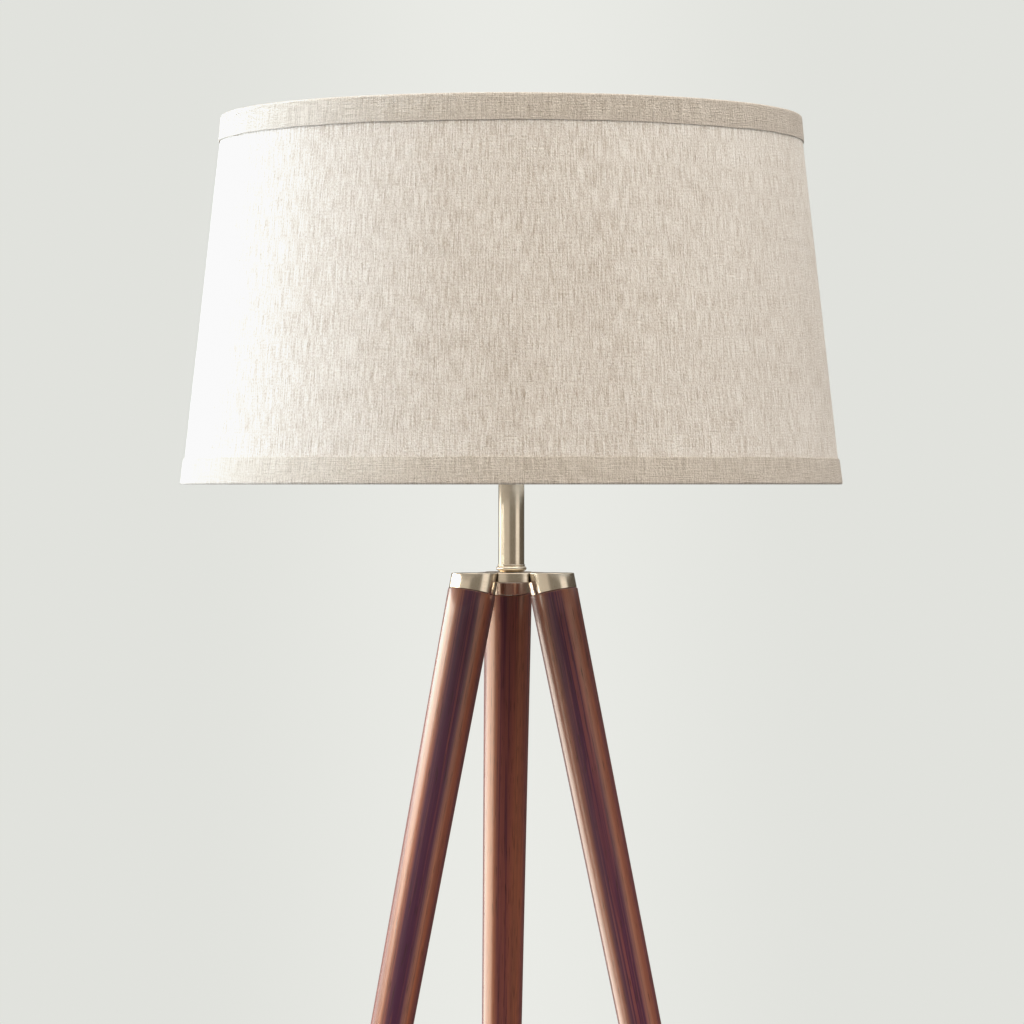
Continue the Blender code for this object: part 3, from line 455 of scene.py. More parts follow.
class NodeBench:
    """Short calls that put shader nodes into a tree and join them."""

    def __init__(self, tree: bpy.types.NodeTree) -> None:
        """Starts on a tree.

        Args:
            tree: the material's or group's node tree.
        """
        self.tree = tree

    def node(self, kind: str, **inputs: object) -> bpy.types.Node:
        """Adds a node. Each input is a plain value or a socket, named with _ for a blank, and a
        name that starts with set_ is a setting of the node itself.

        Args:
            kind: the node's type.
            inputs: its inputs and settings.

        Returns:
            The node.
        """
        made = self.tree.nodes.new(kind)
        for key, value in inputs.items():
            if key.startswith("set_"):
                setattr(made, key[4:], value)
        for key, value in inputs.items():
            if not key.startswith("set_"):
                self.feed(made.inputs[key.replace("_", " ")], value)
        return made

    def feed(self, socket: bpy.types.NodeSocket, value: object) -> None:
        """Links a socket to an input, or sets the input's plain value.

        Args:
            socket: the input.
            value: another node's output, or a plain value.
        """
        if isinstance(value, bpy.types.NodeSocket):
            self.tree.links.new(value, socket)
        else:
            socket.default_value = value

    def math(self, operation: str, a: object, b: object = 0.0) -> bpy.types.NodeSocket:
        """Puts in a Math node.

        Args:
            operation: what it does.
            a: its first value.
            b: its second value, if it takes one.

        Returns:
            Its result.
        """
        made = self.tree.nodes.new("ShaderNodeMath")
        made.operation = operation
        for socket, value in zip(made.inputs, (a, b)):
            self.feed(socket, value)
        return made.outputs[0]

    def swing(self, value: object, weight: object) -> bpy.types.NodeSocket:
        """How far the value is from a half, times the weight."""
        return self.math("MULTIPLY", self.math("SUBTRACT", value, 0.5), weight)

    def reach(self, x: bpy.types.NodeSocket, y: bpy.types.NodeSocket) -> bpy.types.NodeSocket:
        """The distance from the axis, which is the root of x squared plus y squared."""
        return self.math("SQRT", self.math("ADD", self.math("MULTIPLY", x, x), self.math("MULTIPLY", y, y)))

    def weighed(self, *terms: tuple[object, float]) -> bpy.types.NodeSocket:
        """Adds values up.

        Args:
            terms: each value and its weight.

        Returns:
            The sum of the values, each times its weight.
        """
        total = self.math("MULTIPLY", *terms[0])
        for value, weight in terms[1:]:
            total = self.math("ADD", total, self.math("MULTIPLY", value, weight))
        return total

    def ramp(
        self,
        value: object,
        low: float,
        high: float,
        to_low: float = 0.0,
        to_high: float = 1.0,
    ) -> bpy.types.NodeSocket:
        """Carries a value smoothly from one range to another, and holds it at the ends.

        Args:
            value: what is carried.
            low: start of its range.
            high: end of its range.
            to_low: what the start becomes.
            to_high: what the end becomes.

        Returns:
            The carried value.
        """
        made = self.tree.nodes.new("ShaderNodeMapRange")
        made.interpolation_type = "SMOOTHSTEP"
        for socket, number in zip(made.inputs, (value, low, high, to_low, to_high)):
            self.feed(socket, number)
        return made.outputs[0]

    def scaled(
        self,
        vector: bpy.types.NodeSocket,
        x: float,
        y: float,
        z: float = 1.0,
    ) -> bpy.types.NodeSocket:
        """Stretches coordinates.

        Args:
            vector: the coordinates, in metres.
            x: factor along the first one, so a noise has about that many cells in a metre.
            y: factor along the second one.
            z: factor along the third one.

        Returns:
            The stretched coordinates.
        """
        made = self.tree.nodes.new("ShaderNodeMapping")
        made.inputs["Scale"].default_value = (x, y, z)
        self.tree.links.new(vector, made.inputs["Vector"])
        return made.outputs[0]

    def noise(
        self,
        vector: bpy.types.NodeSocket,
        detail: float = 2.0,
        roughness: float = 0.5,
    ) -> bpy.types.NodeSocket:
        """Noise of scale 1 in the given coordinates.

        Args:
            vector: the coordinates.
            detail: how many finer layers it has.
            roughness: how strong they are.

        Returns:
            The noise, about 0 to 1 with 0.5 in the middle.
        """
        made = self.node(
            "ShaderNodeTexNoise", Vector=vector, Scale=1.0, Detail=detail, Roughness=roughness
        )
        return made.outputs[0]

    def mixed(self, share: object, a: object, b: object) -> bpy.types.NodeSocket:
        """Mixes two colours.

        Args:
            share: 0 for all of the first, 1 for all of the second.
            a: the first colour.
            b: the second colour.

        Returns:
            The mixed colour.
        """
        made = self.tree.nodes.new("ShaderNodeMix")
        made.data_type = "RGBA"
        for number, value in ((0, share), (6, a), (7, b)):
            self.feed(made.inputs[number], value)
        return made.outputs[2]

    def laid_over(
        self,
        share: object,
        under: bpy.types.Node,
        over: bpy.types.Node,
    ) -> bpy.types.NodeSocket:
        """Mixes two shaders.

        Args:
            share: 0 for all of the first, 1 for all of the second.
            under: the first shader's node.
            over: the second shader's node.

        Returns:
            The mixed shader.
        """
        both = self.node("ShaderNodeMixShader", Fac=share)
        self.tree.links.new(under.outputs[0], both.inputs[1])
        self.tree.links.new(over.outputs[0], both.inputs[2])
        return both.outputs[0]


def rgba(colour: Colour) -> tuple[float, float, float, float]:
    """A colour with full alpha."""
    return (*colour, 1.0)


GROUPS: dict[str, bpy.types.NodeTree] = {}
GroupStart = tuple[bpy.types.NodeTree, NodeBench, bpy.types.Node, bpy.types.Node]


def group_of(name: str, takes: dict[str, str], gives: dict[str, str]) -> GroupStart:
    """Starts a shader node group with named inputs and outputs.

    Args:
        name: the group's name.
        takes: input names and their socket kinds, Float, Vector or Color.
        gives: output names and theirs.

    Returns:
        The group, a bench on it, and its input and output nodes.
    """
    tree = bpy.data.node_groups.new(name, "ShaderNodeTree")
    for label, kind in takes.items():
        tree.interface.new_socket(label, in_out="INPUT", socket_type="NodeSocket" + kind)
    for label, kind in gives.items():
        tree.interface.new_socket(label, in_out="OUTPUT", socket_type="NodeSocket" + kind)
    GROUPS[name] = tree
    return tree, NodeBench(tree), tree.nodes.new("NodeGroupInput"), tree.nodes.new("NodeGroupOutput")


def linen_weave() -> bpy.types.NodeTree:
    """The group that draws slubbed linen in flat coordinates in metres. Long noises up the cloth
    are its thick and thin yarns, long ones across it the weft, and the crests of two coarser ones
    are dark slubs and flecks.

    Returns:
        The group. Its Tone is 0 for flax and 1 for the palest yarn, and Height is the cloth's
        relief.
    """
    if "linen weave" in GROUPS:
        return GROUPS["linen weave"]
    takes = {"Flat": "Vector", "Slubs": "Float", "Weft": "Float"}
    tree, bench, given, out = group_of("linen weave", takes, {"Tone": "Float", "Height": "Float"})
    flat = given.outputs["Flat"]
    warp = bench.noise(bench.scaled(flat, 1050, 62), 2.0, 0.65)
    coarse = bench.noise(bench.scaled(flat, 1350, 95), 1.0, 0.5)
    rib = bench.noise(bench.scaled(flat, 1250, 620), 2.0, 0.75)
    weft = bench.noise(bench.scaled(flat, 60, 1500), 2.0, 0.6)
    cloud = bench.noise(bench.scaled(flat, 30, 12), 2.0, 0.5)
    speck = bench.noise(bench.scaled(flat, 1300, 700), 1.0, 0.5)
    slub = bench.ramp(coarse, 0.60, 0.74)
    fleck = bench.math("MULTIPLY", bench.ramp(speck, 0.63, 0.76), 0.6)
    long_yarns = bench.math("ADD", bench.swing(warp, 2.1), bench.swing(weft, given.outputs["Weft"]))
    short_yarns = bench.math("ADD", bench.swing(cloud, 0.3), bench.swing(rib, 1.8))
    yarns = bench.math("ADD", long_yarns, short_yarns)
    dark = bench.math("ADD", bench.math("MULTIPLY", slub, given.outputs["Slubs"]), fleck)
    tone = bench.math("SUBTRACT", bench.math("ADD", yarns, 0.68), dark)
    clear = bench.node("ShaderNodeClamp", Value=tone)
    across = bench.math("MULTIPLY", weft, bench.math("ADD", given.outputs["Weft"], 0.35))
    yarn = bench.weighed((rib, 2.2), (warp, 0.4))
    height = bench.math("ADD", bench.math("ADD", yarn, across), bench.math("MULTIPLY", slub, 0.5))
    tree.links.new(clear.outputs[0], out.inputs["Tone"])
    tree.links.new(height, out.inputs["Height"])
    return tree


def timber_grain() -> bpy.types.NodeTree:
    """The group that draws walnut in stock coordinates in metres, with Z along the grain: growth
    rings round a far-off pith, streaks and hairs of colour, dark veins, and open pores.

    Returns:
        The group. Its Tone is 0 for the darkest wood, Glow marks the amber streaks, Pores the
        pores, and Height is the relief.
    """
    if "timber grain" in GROUPS:
        return GROUPS["timber grain"]
    gives = {"Tone": "Float", "Glow": "Float", "Pores": "Float", "Height": "Float"}
    tree, bench, given, out = group_of("timber grain", {"Stock": "Vector"}, gives)
    stock = given.outputs["Stock"]
    warp = bench.noise(bench.scaled(stock, 14, 14, 1.6), 1.0)
    split = bench.node("ShaderNodeSeparateXYZ", Vector=stock)
    pith_x, pith_y = 0.055, 0.018
    x = bench.math("ADD", split.outputs[0], pith_x)
    y = bench.math("ADD", split.outputs[1], pith_y)
    reach = bench.reach(x, y)
    bent = bench.math("ADD", reach, bench.math("MULTIPLY", warp, 0.012))
    rings_in_a_metre = 330
    ring_place = bench.math("MULTIPLY", bent, rings_in_a_metre)
    cell = bench.node("ShaderNodeCombineXYZ", X=ring_place, Y=0.0, Z=0.0)
    rings = bench.noise(cell.outputs[0], 2.0, 0.55)
    streak = bench.noise(bench.scaled(stock, 420, 420, 3.2), 2.0, 0.55)
    hair = bench.noise(bench.scaled(stock, 1500, 1500, 22), 1.0)
    broad = bench.noise(bench.scaled(stock, 75, 75, 0.9), 1.0)
    pores = bench.ramp(bench.noise(bench.scaled(stock, 2300, 2300, 75), 0.0), 0.66, 0.80)
    vein = bench.ramp(bench.noise(bench.scaled(stock, 620, 620, 4.0), 1.0), 0.52, 0.64)
    tone = bench.weighed((rings, 0.55), (streak, 0.6), (hair, 0.28), (broad, 0.6))
    tone = bench.math("SUBTRACT", bench.ramp(tone, 0.80, 1.25), vein)
    tone = bench.node("ShaderNodeClamp", Value=tone).outputs[0]
    glow = bench.ramp(bench.math("ADD", broad, bench.math("MULTIPLY", streak, 0.35)), 0.70, 0.90)
    height = bench.math("SUBTRACT", bench.math("MULTIPLY", hair, 0.35), pores)
    for label, value in (("Tone", tone), ("Glow", glow), ("Pores", pores), ("Height", height)):
        tree.links.new(value, out.inputs[label])
    return tree


def turning_marks() -> bpy.types.NodeTree:
    """The group that draws the fine rings a belt or tool leaves round a turned part. They depend
    on the height plus the distance from the part's own axis, so they go round its sides and its
    flat faces alike.

    Returns:
        The group. Its Marks are about 0 to 1, and Cloud is a broad unevenness.
    """
    if "turning marks" in GROUPS:
        return GROUPS["turning marks"]
    tree, bench, given, out = group_of(
        "turning marks", {"Stock": "Vector", "Pitch": "Float"}, {"Marks": "Float", "Cloud": "Float"}
    )
    stock = given.outputs["Stock"]
    split = bench.node("ShaderNodeSeparateXYZ", Vector=stock)
    x, y, z = split.outputs
    along = bench.math("MULTIPLY", bench.math("ADD", z, bench.reach(x, y)), given.outputs["Pitch"])
    break_up = 40
    side_x = bench.math("MULTIPLY", x, break_up)
    side_y = bench.math("MULTIPLY", y, break_up)
    cell = bench.node("ShaderNodeCombineXYZ", X=along, Y=side_x, Z=side_y)
    fine = bench.noise(cell.outputs[0], 3.0, 0.7)
    cloud = bench.noise(bench.scaled(stock, 90, 90, 90), 2.0)
    tree.links.new(fine, out.inputs["Marks"])
    tree.links.new(cloud, out.inputs["Cloud"])
    return tree


def handled_mottle() -> bpy.types.NodeTree:
    """The group that breaks up a plain surface, in object coordinates at two sizes.

    Returns:
        The group. Its Blotch is a slow unevenness and Fine a fine grain, both about 0 to 1.
    """
    if "handled mottle" in GROUPS:
        return GROUPS["handled mottle"]
    tree, bench, given, out = group_of(
        "handled mottle",
        {"Place": "Vector", "Blotches": "Float", "Grain": "Float"},
        {"Blotch": "Float", "Fine": "Float"},
    )
    for label, scale, detail in (("Blotch", "Blotches", 3.0), ("Fine", "Grain", 2.0)):
        made = bench.node(
            "ShaderNodeTexNoise", Vector=given.outputs["Place"], Scale=given.outputs[scale], Detail=detail
        )
        tree.links.new(made.outputs[0], out.inputs[label])
    return tree


class Finish:
    """What a piece is made of. A finish makes its material once, and gives the same one after."""

    made: dict["Finish", bpy.types.Material] = {}

    def material(self) -> bpy.types.Material:
        """Makes the finish's material the first time, and gives the same one after.

        Returns:
            The material.
        """
        if self not in Finish.made:
            mat = bpy.data.materials.new(type(self).__name__)
            mat.use_nodes = True
            mat.node_tree.nodes.clear()
            bench = NodeBench(mat.node_tree)
            shader = self.shade(bench)
            bench.node("ShaderNodeOutputMaterial", Surface=shader)
            Finish.made[self] = mat
        return Finish.made[self]

    def shade(self, bench: NodeBench) -> bpy.types.NodeSocket:
        """Puts the finish's nodes into its material.

        Args:
            bench: the bench on the material's tree.

        Returns:
            The finish's shader.
        """
        raise NotImplementedError

    @staticmethod
    def place(bench: NodeBench) -> bpy.types.NodeSocket:
        """Object coordinates."""
        return bench.node("ShaderNodeTexCoord").outputs["Object"]

    @staticmethod
    def stock(bench: NodeBench) -> bpy.types.NodeSocket:
        """The piece's own stock coordinates."""
        return bench.node("ShaderNodeAttribute", set_attribute_name="stock").outputs["Vector"]

    @staticmethod
    def flat(bench: NodeBench) -> bpy.types.NodeSocket:
        """The piece's own flat coordinates."""
        return bench.node("ShaderNodeUVMap", set_uv_map="flat").outputs["UV"]

    @staticmethod
    def group(bench: NodeBench, tree: bpy.types.NodeTree, **inputs: object) -> bpy.types.Node:
        """Places a shared group with its own values.

        Args:
            bench: the bench on the material's tree.
            tree: the group.
            inputs: the group's inputs.

        Returns:
            The group's node.
        """
        made = bench.tree.nodes.new("ShaderNodeGroup")
        made.node_tree = tree
        for key, value in inputs.items():
            bench.feed(made.inputs[key], value)
        return made


@dataclass(frozen=True)
class Linen(Finish):
    """Slubbed linen. Some light comes through a single layer."""

    pale: Colour = (0.97, 0.925, 0.865)
    flax: Colour = (0.55, 0.455, 0.365)
    slubs: float = 0.5
    weft: float = 0.35
    relief: float = 0.9
    yarn_height: float = 0.0007
    through: float = 0.28

    def shade(self, bench: NodeBench) -> bpy.types.NodeSocket:
        """Tones the yarns from flax to pale, and mixes in the light from behind.

        Args:
            bench: the bench on the material's tree.

        Returns:
            The linen's shader.
        """
        weave = self.group(bench, linen_weave(), Flat=self.flat(bench), Slubs=self.slubs, Weft=self.weft)
        colour = bench.mixed(weave.outputs["Tone"], rgba(self.flax), rgba(self.pale))
        height = weave.outputs["Height"]
        bump = bench.node("ShaderNodeBump", Strength=self.relief, Distance=self.yarn_height, Height=height)
        cloth = bench.node(
            "ShaderNodeBsdfPrincipled",
            Base_Color=colour,
            Roughness=0.88,
            Sheen_Weight=0.25,
            Sheen_Roughness=0.45,
            Specular_IOR_Level=0.2,
            Normal=bump.outputs[0],
        )
        if not self.through:
            return cloth.outputs[0]
        behind = bench.node("ShaderNodeBsdfTranslucent", Color=colour, Normal=bump.outputs[0])
        return bench.laid_over(self.through, cloth, behind)


@dataclass(frozen=True)
class Styrene(Finish):
    """White sheet styrene that backs the linen, milky to the light."""

    white: Colour = (0.86, 0.85, 0.82)
    blotch: float = 0.95
    through: float = 0.45

    def shade(self, bench: NodeBench) -> bpy.types.NodeSocket:
        """A soft white with faint blotches, partly lit from behind.

        Args:
            bench: the bench on the material's tree.

        Returns:
            The styrene's shader.
        """
        mottle = self.group(bench, handled_mottle(), Place=self.place(bench), Blotches=30.0, Grain=1400.0)
        greyer = tuple(self.blotch * c for c in self.white)
        colour = bench.mixed(mottle.outputs["Blotch"], rgba(greyer), rgba(self.white))
        bump = bench.node("ShaderNodeBump", Strength=0.2, Distance=0.0001, Height=mottle.outputs["Fine"])
        sheet = bench.node(
            "ShaderNodeBsdfPrincipled",
            Base_Color=colour,
            Roughness=0.45,
            Normal=bump.outputs[0],
        )
        behind = bench.node("ShaderNodeBsdfTranslucent", Color=colour)
        return bench.laid_over(self.through, sheet, behind)


@dataclass(frozen=True)
class Walnut(Finish):
    """Stained walnut under a satin lacquer. A painted amber sheen in its base colour warms the wood where the
    surface turns away from the viewer.
    """

    dark: Colour = (0.048, 0.007, 0.036)
    red: Colour = (0.172, 0.045, 0.046)
    amber: Colour = (0.320, 0.112, 0.056)
    # edge is the painted sheen colour, laid into the base colour near each outline by how far the surface
    # faces away from the viewer
    edge: Colour = (0.37, 0.128, 0.038)
    pore: Colour = (0.015, 0.005, 0.005)
    gloss: Colour = (1.0, 0.84, 0.62)
    glow: float = 0.16
    pore_share: float = 0.75

    def shade(self, bench: NodeBench) -> bpy.types.NodeSocket:
        """Tones the grain from dark to red and warms the streaks. Paints an amber sheen into the base colour
        by the Layer Weight facing, in a band beside each outline of the leg and a little all the way to it,
        and sinks the pores.

        Args:
            bench: the bench on the material's tree.

        Returns:
            The walnut's shader.
        """
        grain = self.group(bench, timber_grain(), Stock=self.stock(bench))
        wood = bench.mixed(grain.outputs["Tone"], rgba(self.dark), rgba(self.red))
        glow = bench.math("MULTIPLY", grain.outputs["Glow"], self.glow)
        wood = bench.mixed(glow, wood, rgba(self.amber))
        # painted sheen: the base colour turns amber by the facing angle, in a band beside each outline of the
        # leg
        facing = bench.node("ShaderNodeLayerWeight", Blend=0.5).outputs["Facing"]
        rise, fall = bench.ramp(facing, 0.03, 0.18), bench.ramp(facing, 0.28, 0.60, 0.42, 0.18)
        wood = bench.mixed(bench.math("MULTIPLY", rise, fall), wood, rgba(self.edge))
        pores = bench.math("MULTIPLY", grain.outputs["Pores"], self.pore_share)
        wood = bench.mixed(pores, wood, rgba(self.pore))
        bump = bench.node("ShaderNodeBump", Strength=0.12, Distance=0.0002, Height=grain.outputs["Height"])
        rough = bench.ramp(grain.outputs["Tone"], 0.0, 1.0, 0.36, 0.31)
        return bench.node(
            "ShaderNodeBsdfPrincipled",
            Base_Color=wood,
            Roughness=rough,
            Specular_IOR_Level=0.5,
            Specular_Tint=rgba(self.gloss),
            Coat_Weight=0.35,
            Coat_Roughness=0.15,
            Normal=bump.outputs[0],
        ).outputs[0]


@dataclass(frozen=True)
class TurnedMetal(Finish):
    """Metal with fine marks round it, such as brushed nickel or turned brass."""

    bright: Colour
    dull: Colour
    rough: float = 0.24
    pitch: float = 5200.0
    marks: float = 0.12

    def shade(self, bench: NodeBench) -> bpy.types.NodeSocket:
        """Marks vary the colour, the gloss and the relief, and broad blotches dull it.

        Args:
            bench: the bench on the material's tree.

        Returns:
            The metal's shader.
        """
        turned_marks = self.group(bench, turning_marks(), Stock=self.stock(bench), Pitch=self.pitch)
        marks, cloud = turned_marks.outputs["Marks"], turned_marks.outputs["Cloud"]
        tone = bench.weighed((marks, 0.65), (cloud, 0.35))
        colour = bench.mixed(bench.ramp(tone, 0.3, 0.7), rgba(self.dull), rgba(self.bright))
        rough = bench.ramp(tone, 0.3, 0.7, self.rough * 1.25, self.rough * 0.85)
        bump = bench.node("ShaderNodeBump", Strength=self.marks, Distance=0.00005, Height=marks)
        return bench.node(
            "ShaderNodeBsdfPrincipled",
            Base_Color=colour,
            Metallic=1.0,
            Roughness=rough,
            Normal=bump.outputs[0],
        ).outputs[0]


@dataclass(frozen=True)
class Moulded(Finish):
    """A plain hard stuff, moulded, coated or pressed, with faint blotches and a fine grain."""

    base: Colour
    worn: Colour
    rough: float = 0.5
    metallic: float = 0.0
    blotches: float = 60.0
    grain: float = 1500.0
    relief: float = 0.25

    def shade(self, bench: NodeBench) -> bpy.types.NodeSocket:
        """Blotches vary the colour and the gloss, and the grain gives the relief.

        Args:
            bench: the bench on the material's tree.

        Returns:
            The shader.
        """
        place = self.place(bench)
        mottle = self.group(bench, handled_mottle(), Place=place, Blotches=self.blotches, Grain=self.grain)
        blotch = bench.ramp(mottle.outputs["Blotch"], 0.35, 0.7)
        colour = bench.mixed(blotch, rgba(self.base), rgba(self.worn))
        dullest = min(1.0, self.rough * 1.2)
        rough = bench.ramp(mottle.outputs["Blotch"], 0.3, 0.7, self.rough * 0.85, dullest)
        fine = mottle.outputs["Fine"]
        bump = bench.node("ShaderNodeBump", Strength=self.relief, Distance=0.0001, Height=fine)
        return bench.node(
            "ShaderNodeBsdfPrincipled",
            Base_Color=colour,
            Metallic=self.metallic,
            Roughness=rough,
            Normal=bump.outputs[0],
        ).outputs[0]


@dataclass(frozen=True)
class FrostedGlass(Finish):
    """The bulb's glass, white from its inside coating."""

    white: Colour = (0.93, 0.93, 0.91)
    blotch: float = 0.94

    def shade(self, bench: NodeBench) -> bpy.types.NodeSocket:
        """A milky glass with a slight unevenness in its coating.

        Args:
            bench: the bench on the material's tree.

        Returns:
            The glass's shader.
        """
        mottle = self.group(bench, handled_mottle(), Place=self.place(bench), Blotches=45.0, Grain=900.0)
        greyer = tuple(self.blotch * c for c in self.white)
        colour = bench.mixed(mottle.outputs["Blotch"], rgba(greyer), rgba(self.white))
        rough = bench.ramp(mottle.outputs["Blotch"], 0.3, 0.7, 0.30, 0.38)
        return bench.node(
            "ShaderNodeBsdfPrincipled", Base_Color=colour, Roughness=rough, Transmission_Weight=0.3, IOR=1.5
        ).outputs[0]


NICKEL = TurnedMetal(bright=(0.78, 0.70, 0.585), dull=(0.69, 0.61, 0.50), rough=0.19, marks=0.05)
BRASS = TurnedMetal(bright=(0.80, 0.58, 0.30), dull=(0.62, 0.42, 0.19), rough=0.3, pitch=3500.0, marks=0.2)
ALUMINIUM = TurnedMetal(
    bright=(0.82, 0.82, 0.82),
    dull=(0.66, 0.66, 0.67),
    rough=0.35,
    pitch=3000.0,
    marks=0.2,
)
ZINC = Moulded(base=(0.58, 0.58, 0.57), worn=(0.44, 0.45, 0.46), rough=0.4, metallic=1.0, blotches=180.0)
RING_COAT = Moulded(base=(0.80, 0.79, 0.76), worn=(0.72, 0.71, 0.68), rough=0.45, grain=2200.0, relief=0.35)
CARD = Moulded(base=(0.30, 0.22, 0.14), worn=(0.22, 0.15, 0.09), rough=0.85, grain=2600.0, relief=0.5)
PHENOLIC = Moulded(base=(0.035, 0.024, 0.020), worn=(0.055, 0.040, 0.033), rough=0.38, blotches=90.0)
NYLON = Moulded(base=(0.10, 0.095, 0.09), worn=(0.15, 0.14, 0.13), rough=0.55, blotches=150.0)
LINEN = Linen()
TAPE = Linen(
    pale=(0.72, 0.655, 0.575),
    flax=(0.41, 0.345, 0.275),
    slubs=0.25,
    weft=0.9,
    relief=1.0,
    through=0.0,
)
INSERT_BRASS = Moulded(base=(0.62, 0.43, 0.2), worn=(0.5, 0.33, 0.14), rough=0.35, metallic=1.0)
SHELL_PLATE = Moulded(
    base=(0.75, 0.75, 0.74),
    worn=(0.6, 0.6, 0.6),
    rough=0.3,
    metallic=1.0,
    blotches=120.0,
)
CONTACT_BRASS = Moulded(base=(0.72, 0.52, 0.26), worn=(0.6, 0.4, 0.2), rough=0.35, metallic=1.0)
STYRENE = Styrene()
WALNUT = Walnut()
BULB_GLASS = FrostedGlass()


# ---------------------------------------------------------------- the stand


@dataclass
class TripodLeg:
    """A tapered round leg, its nickel ferrule and its foot pad."""

    side: LegSide
    circle: float = 0.0298
    ferrule_radius: float = 0.0162
    ferrule_length: float = 0.0135
    wood_start: float = 0.0138
    wood_ease: float = 0.0005
    top_radius: float = 0.0166
    foot_radius: float = 0.0080
    foot_gap: float = 0.0033
    pad_radius: float = 0.0070
    pad_height: float = 0.0030
    nail_radius: float = 0.0013
    nail_top: float = 0.0170
    foot_circle: float = 0.29166

    def axes(self) -> tuple[Array, Array]:
        """The leg's own frame: Z goes up along it and X points away from the lamp's axis.

        Returns:
            Where the leg's axis meets the hub's top, and the three axes as rows.
        """
        a = self.side.value
        out = np.array([math.cos(a), math.sin(a), 0.0])
        origin = self.circle * out + np.array([0.0, LAMP_AXIS_Y, HUB_TOP])
        down = math.sin(SPLAY) * out - np.array([0.0, 0.0, math.cos(SPLAY)])
        x = math.cos(SPLAY) * out + np.array([0.0, 0.0, math.sin(SPLAY)])
        y = np.array([-math.sin(a), math.cos(a), 0.0])
        return origin, np.stack([x, y, -down])

    def wood(self) -> Surface:
        """A cone about the leg's axis. Its top edge is eased, and its foot is cut level: there the
        distance down the axis grows by the tangent of the splay times the point's place across the
        leg. Its rows go up from the middle of the foot to the middle of the top.

        Returns:
            The wood, in the leg's own frame.
        """
        ease, steps = self.wood_ease, 60
        low = (HUB_TOP - self.foot_gap) / math.cos(SPLAY)
        angle = np.linspace(0, 2 * math.pi, 128, endpoint=False)
        share = np.concatenate([[1.0, 1.0, 1.0], np.linspace(0, 1, steps)[::-1], [0.0, 0.0, 0.0]])
        narrow = np.concatenate([[0.0, 0.0, ease], np.zeros(steps), [ease * 0.3, ease, 0.0]])
        radius = self.foot_radius + (self.top_radius - self.foot_radius) * (1 - share) - narrow
        radius[[0, -1]] = 0.0
        radius[1] = self.foot_radius * 0.5
        x = radius[:, None] * np.cos(angle)
        y = radius[:, None] * np.sin(angle)
        bottom = low + x * math.tan(SPLAY)
        sunk = np.concatenate([np.zeros(steps + 2), [ease, ease * 0.3, 0.0, 0.0]])[:, None]
        start = self.wood_start + sunk
        down = start + (bottom - start) * share[:, None]
        lift = np.concatenate([[0.0, 0.0, 0.0, ease], np.zeros(steps + 2)])[:, None]
        grid = np.stack([x, y, lift - down], axis=-1)
        u = np.linspace(0, 2 * math.pi, 129) * self.top_radius
        return grid_surface(grid, u, lengths_along(grid[:, 0]))

    def ferrule(self) -> Surface:
        """A short cylinder about the leg's axis, square at the bottom and cut level with the hub at
        the top, where its height across the leg falls by the tangent of the splay.

        Returns:
            The ferrule, in the leg's own frame.
        """
        r, length, edge = self.ferrule_radius, self.ferrule_length, 0.0006
        line = eased([(0, -length, 0), (r, -length, 0.0005), (r, 0, edge), (0, 0, 0)], 6)
        line = np.insert(line, len(line) - 1, [[r * 0.6, 0.0]], axis=0)
        line = np.insert(line, 1, [[r * 0.6, -length]], axis=0)
        angle = np.linspace(0, 2 * math.pi, 128, endpoint=False)
        x = line[:, :1] * np.cos(angle)
        y = line[:, :1] * np.sin(angle)
        level = np.clip((line[:, 1:] + length) / (length - edge), 0, 1)
        grid = np.stack([x, y, line[:, 1:] - x * math.tan(SPLAY) * level], axis=-1)
        u = np.linspace(0, 2 * math.pi, 129) * r
        return grid_surface(grid, u, lengths_along(line))

    def pad(self) -> Surface:
        """A round glide with eased edges, and its nail up into the wood.

        Returns:
            The glide, about its own axis.
        """
        r, h = self.pad_radius, self.pad_height
        nail, top = self.nail_radius, self.nail_top
        corners = [
            (0, 0, 0), (r, 0, 0.0008), (r, h, 0.0006), (nail, h, 0), (nail, top, 0.0004), (0, top, 0),
        ]
        return turned(eased(corners), 64)

    def build(self) -> None:
        """Makes the leg, its ferrule and its foot pad. Each leg's stock is turned and moved, so
        that its grain is its own."""
        origin, axes = self.axes()
        word = self.side.word
        wood = self.wood()
        turn = self.side.value * 1.7 + 0.6
        cos, sin = math.cos(turn), math.sin(turn)
        spin = np.array([[cos, sin, 0], [-sin, cos, 0], [0, 0, 1.0]])
        wood.stock = wood.stock @ spin + np.array([0.004, -0.003, 0.31]) * self.side.value
        leg = wood.placed(origin, axes)
        add_piece(f"walnut_leg_{word}", leg, WALNUT, Body.STAND, (f"leg_{word}",), 60)
        ferrule = self.ferrule().placed(origin, axes)
        add_piece(f"ferrule_cap_{word}", ferrule, NICKEL, Body.STAND, (f"ferrule_{word}",))
        out = self.foot_circle * np.array([math.cos(self.side.value), math.sin(self.side.value)])
        pad = self.pad().shifted(out[0], LAMP_AXIS_Y + out[1])
        add_piece(f"glide_{word}", pad, NYLON, Body.STAND, (f"foot_pad_{word}",))

    def dress(self) -> None:
        """Finishes the hidden stud and its insert, which keep the frame's shape."""
        dress_node(f"leg_stud_{self.side.word}", ZINC)
        dress_node(f"leg_insert_{self.side.word}", INSERT_BRASS)


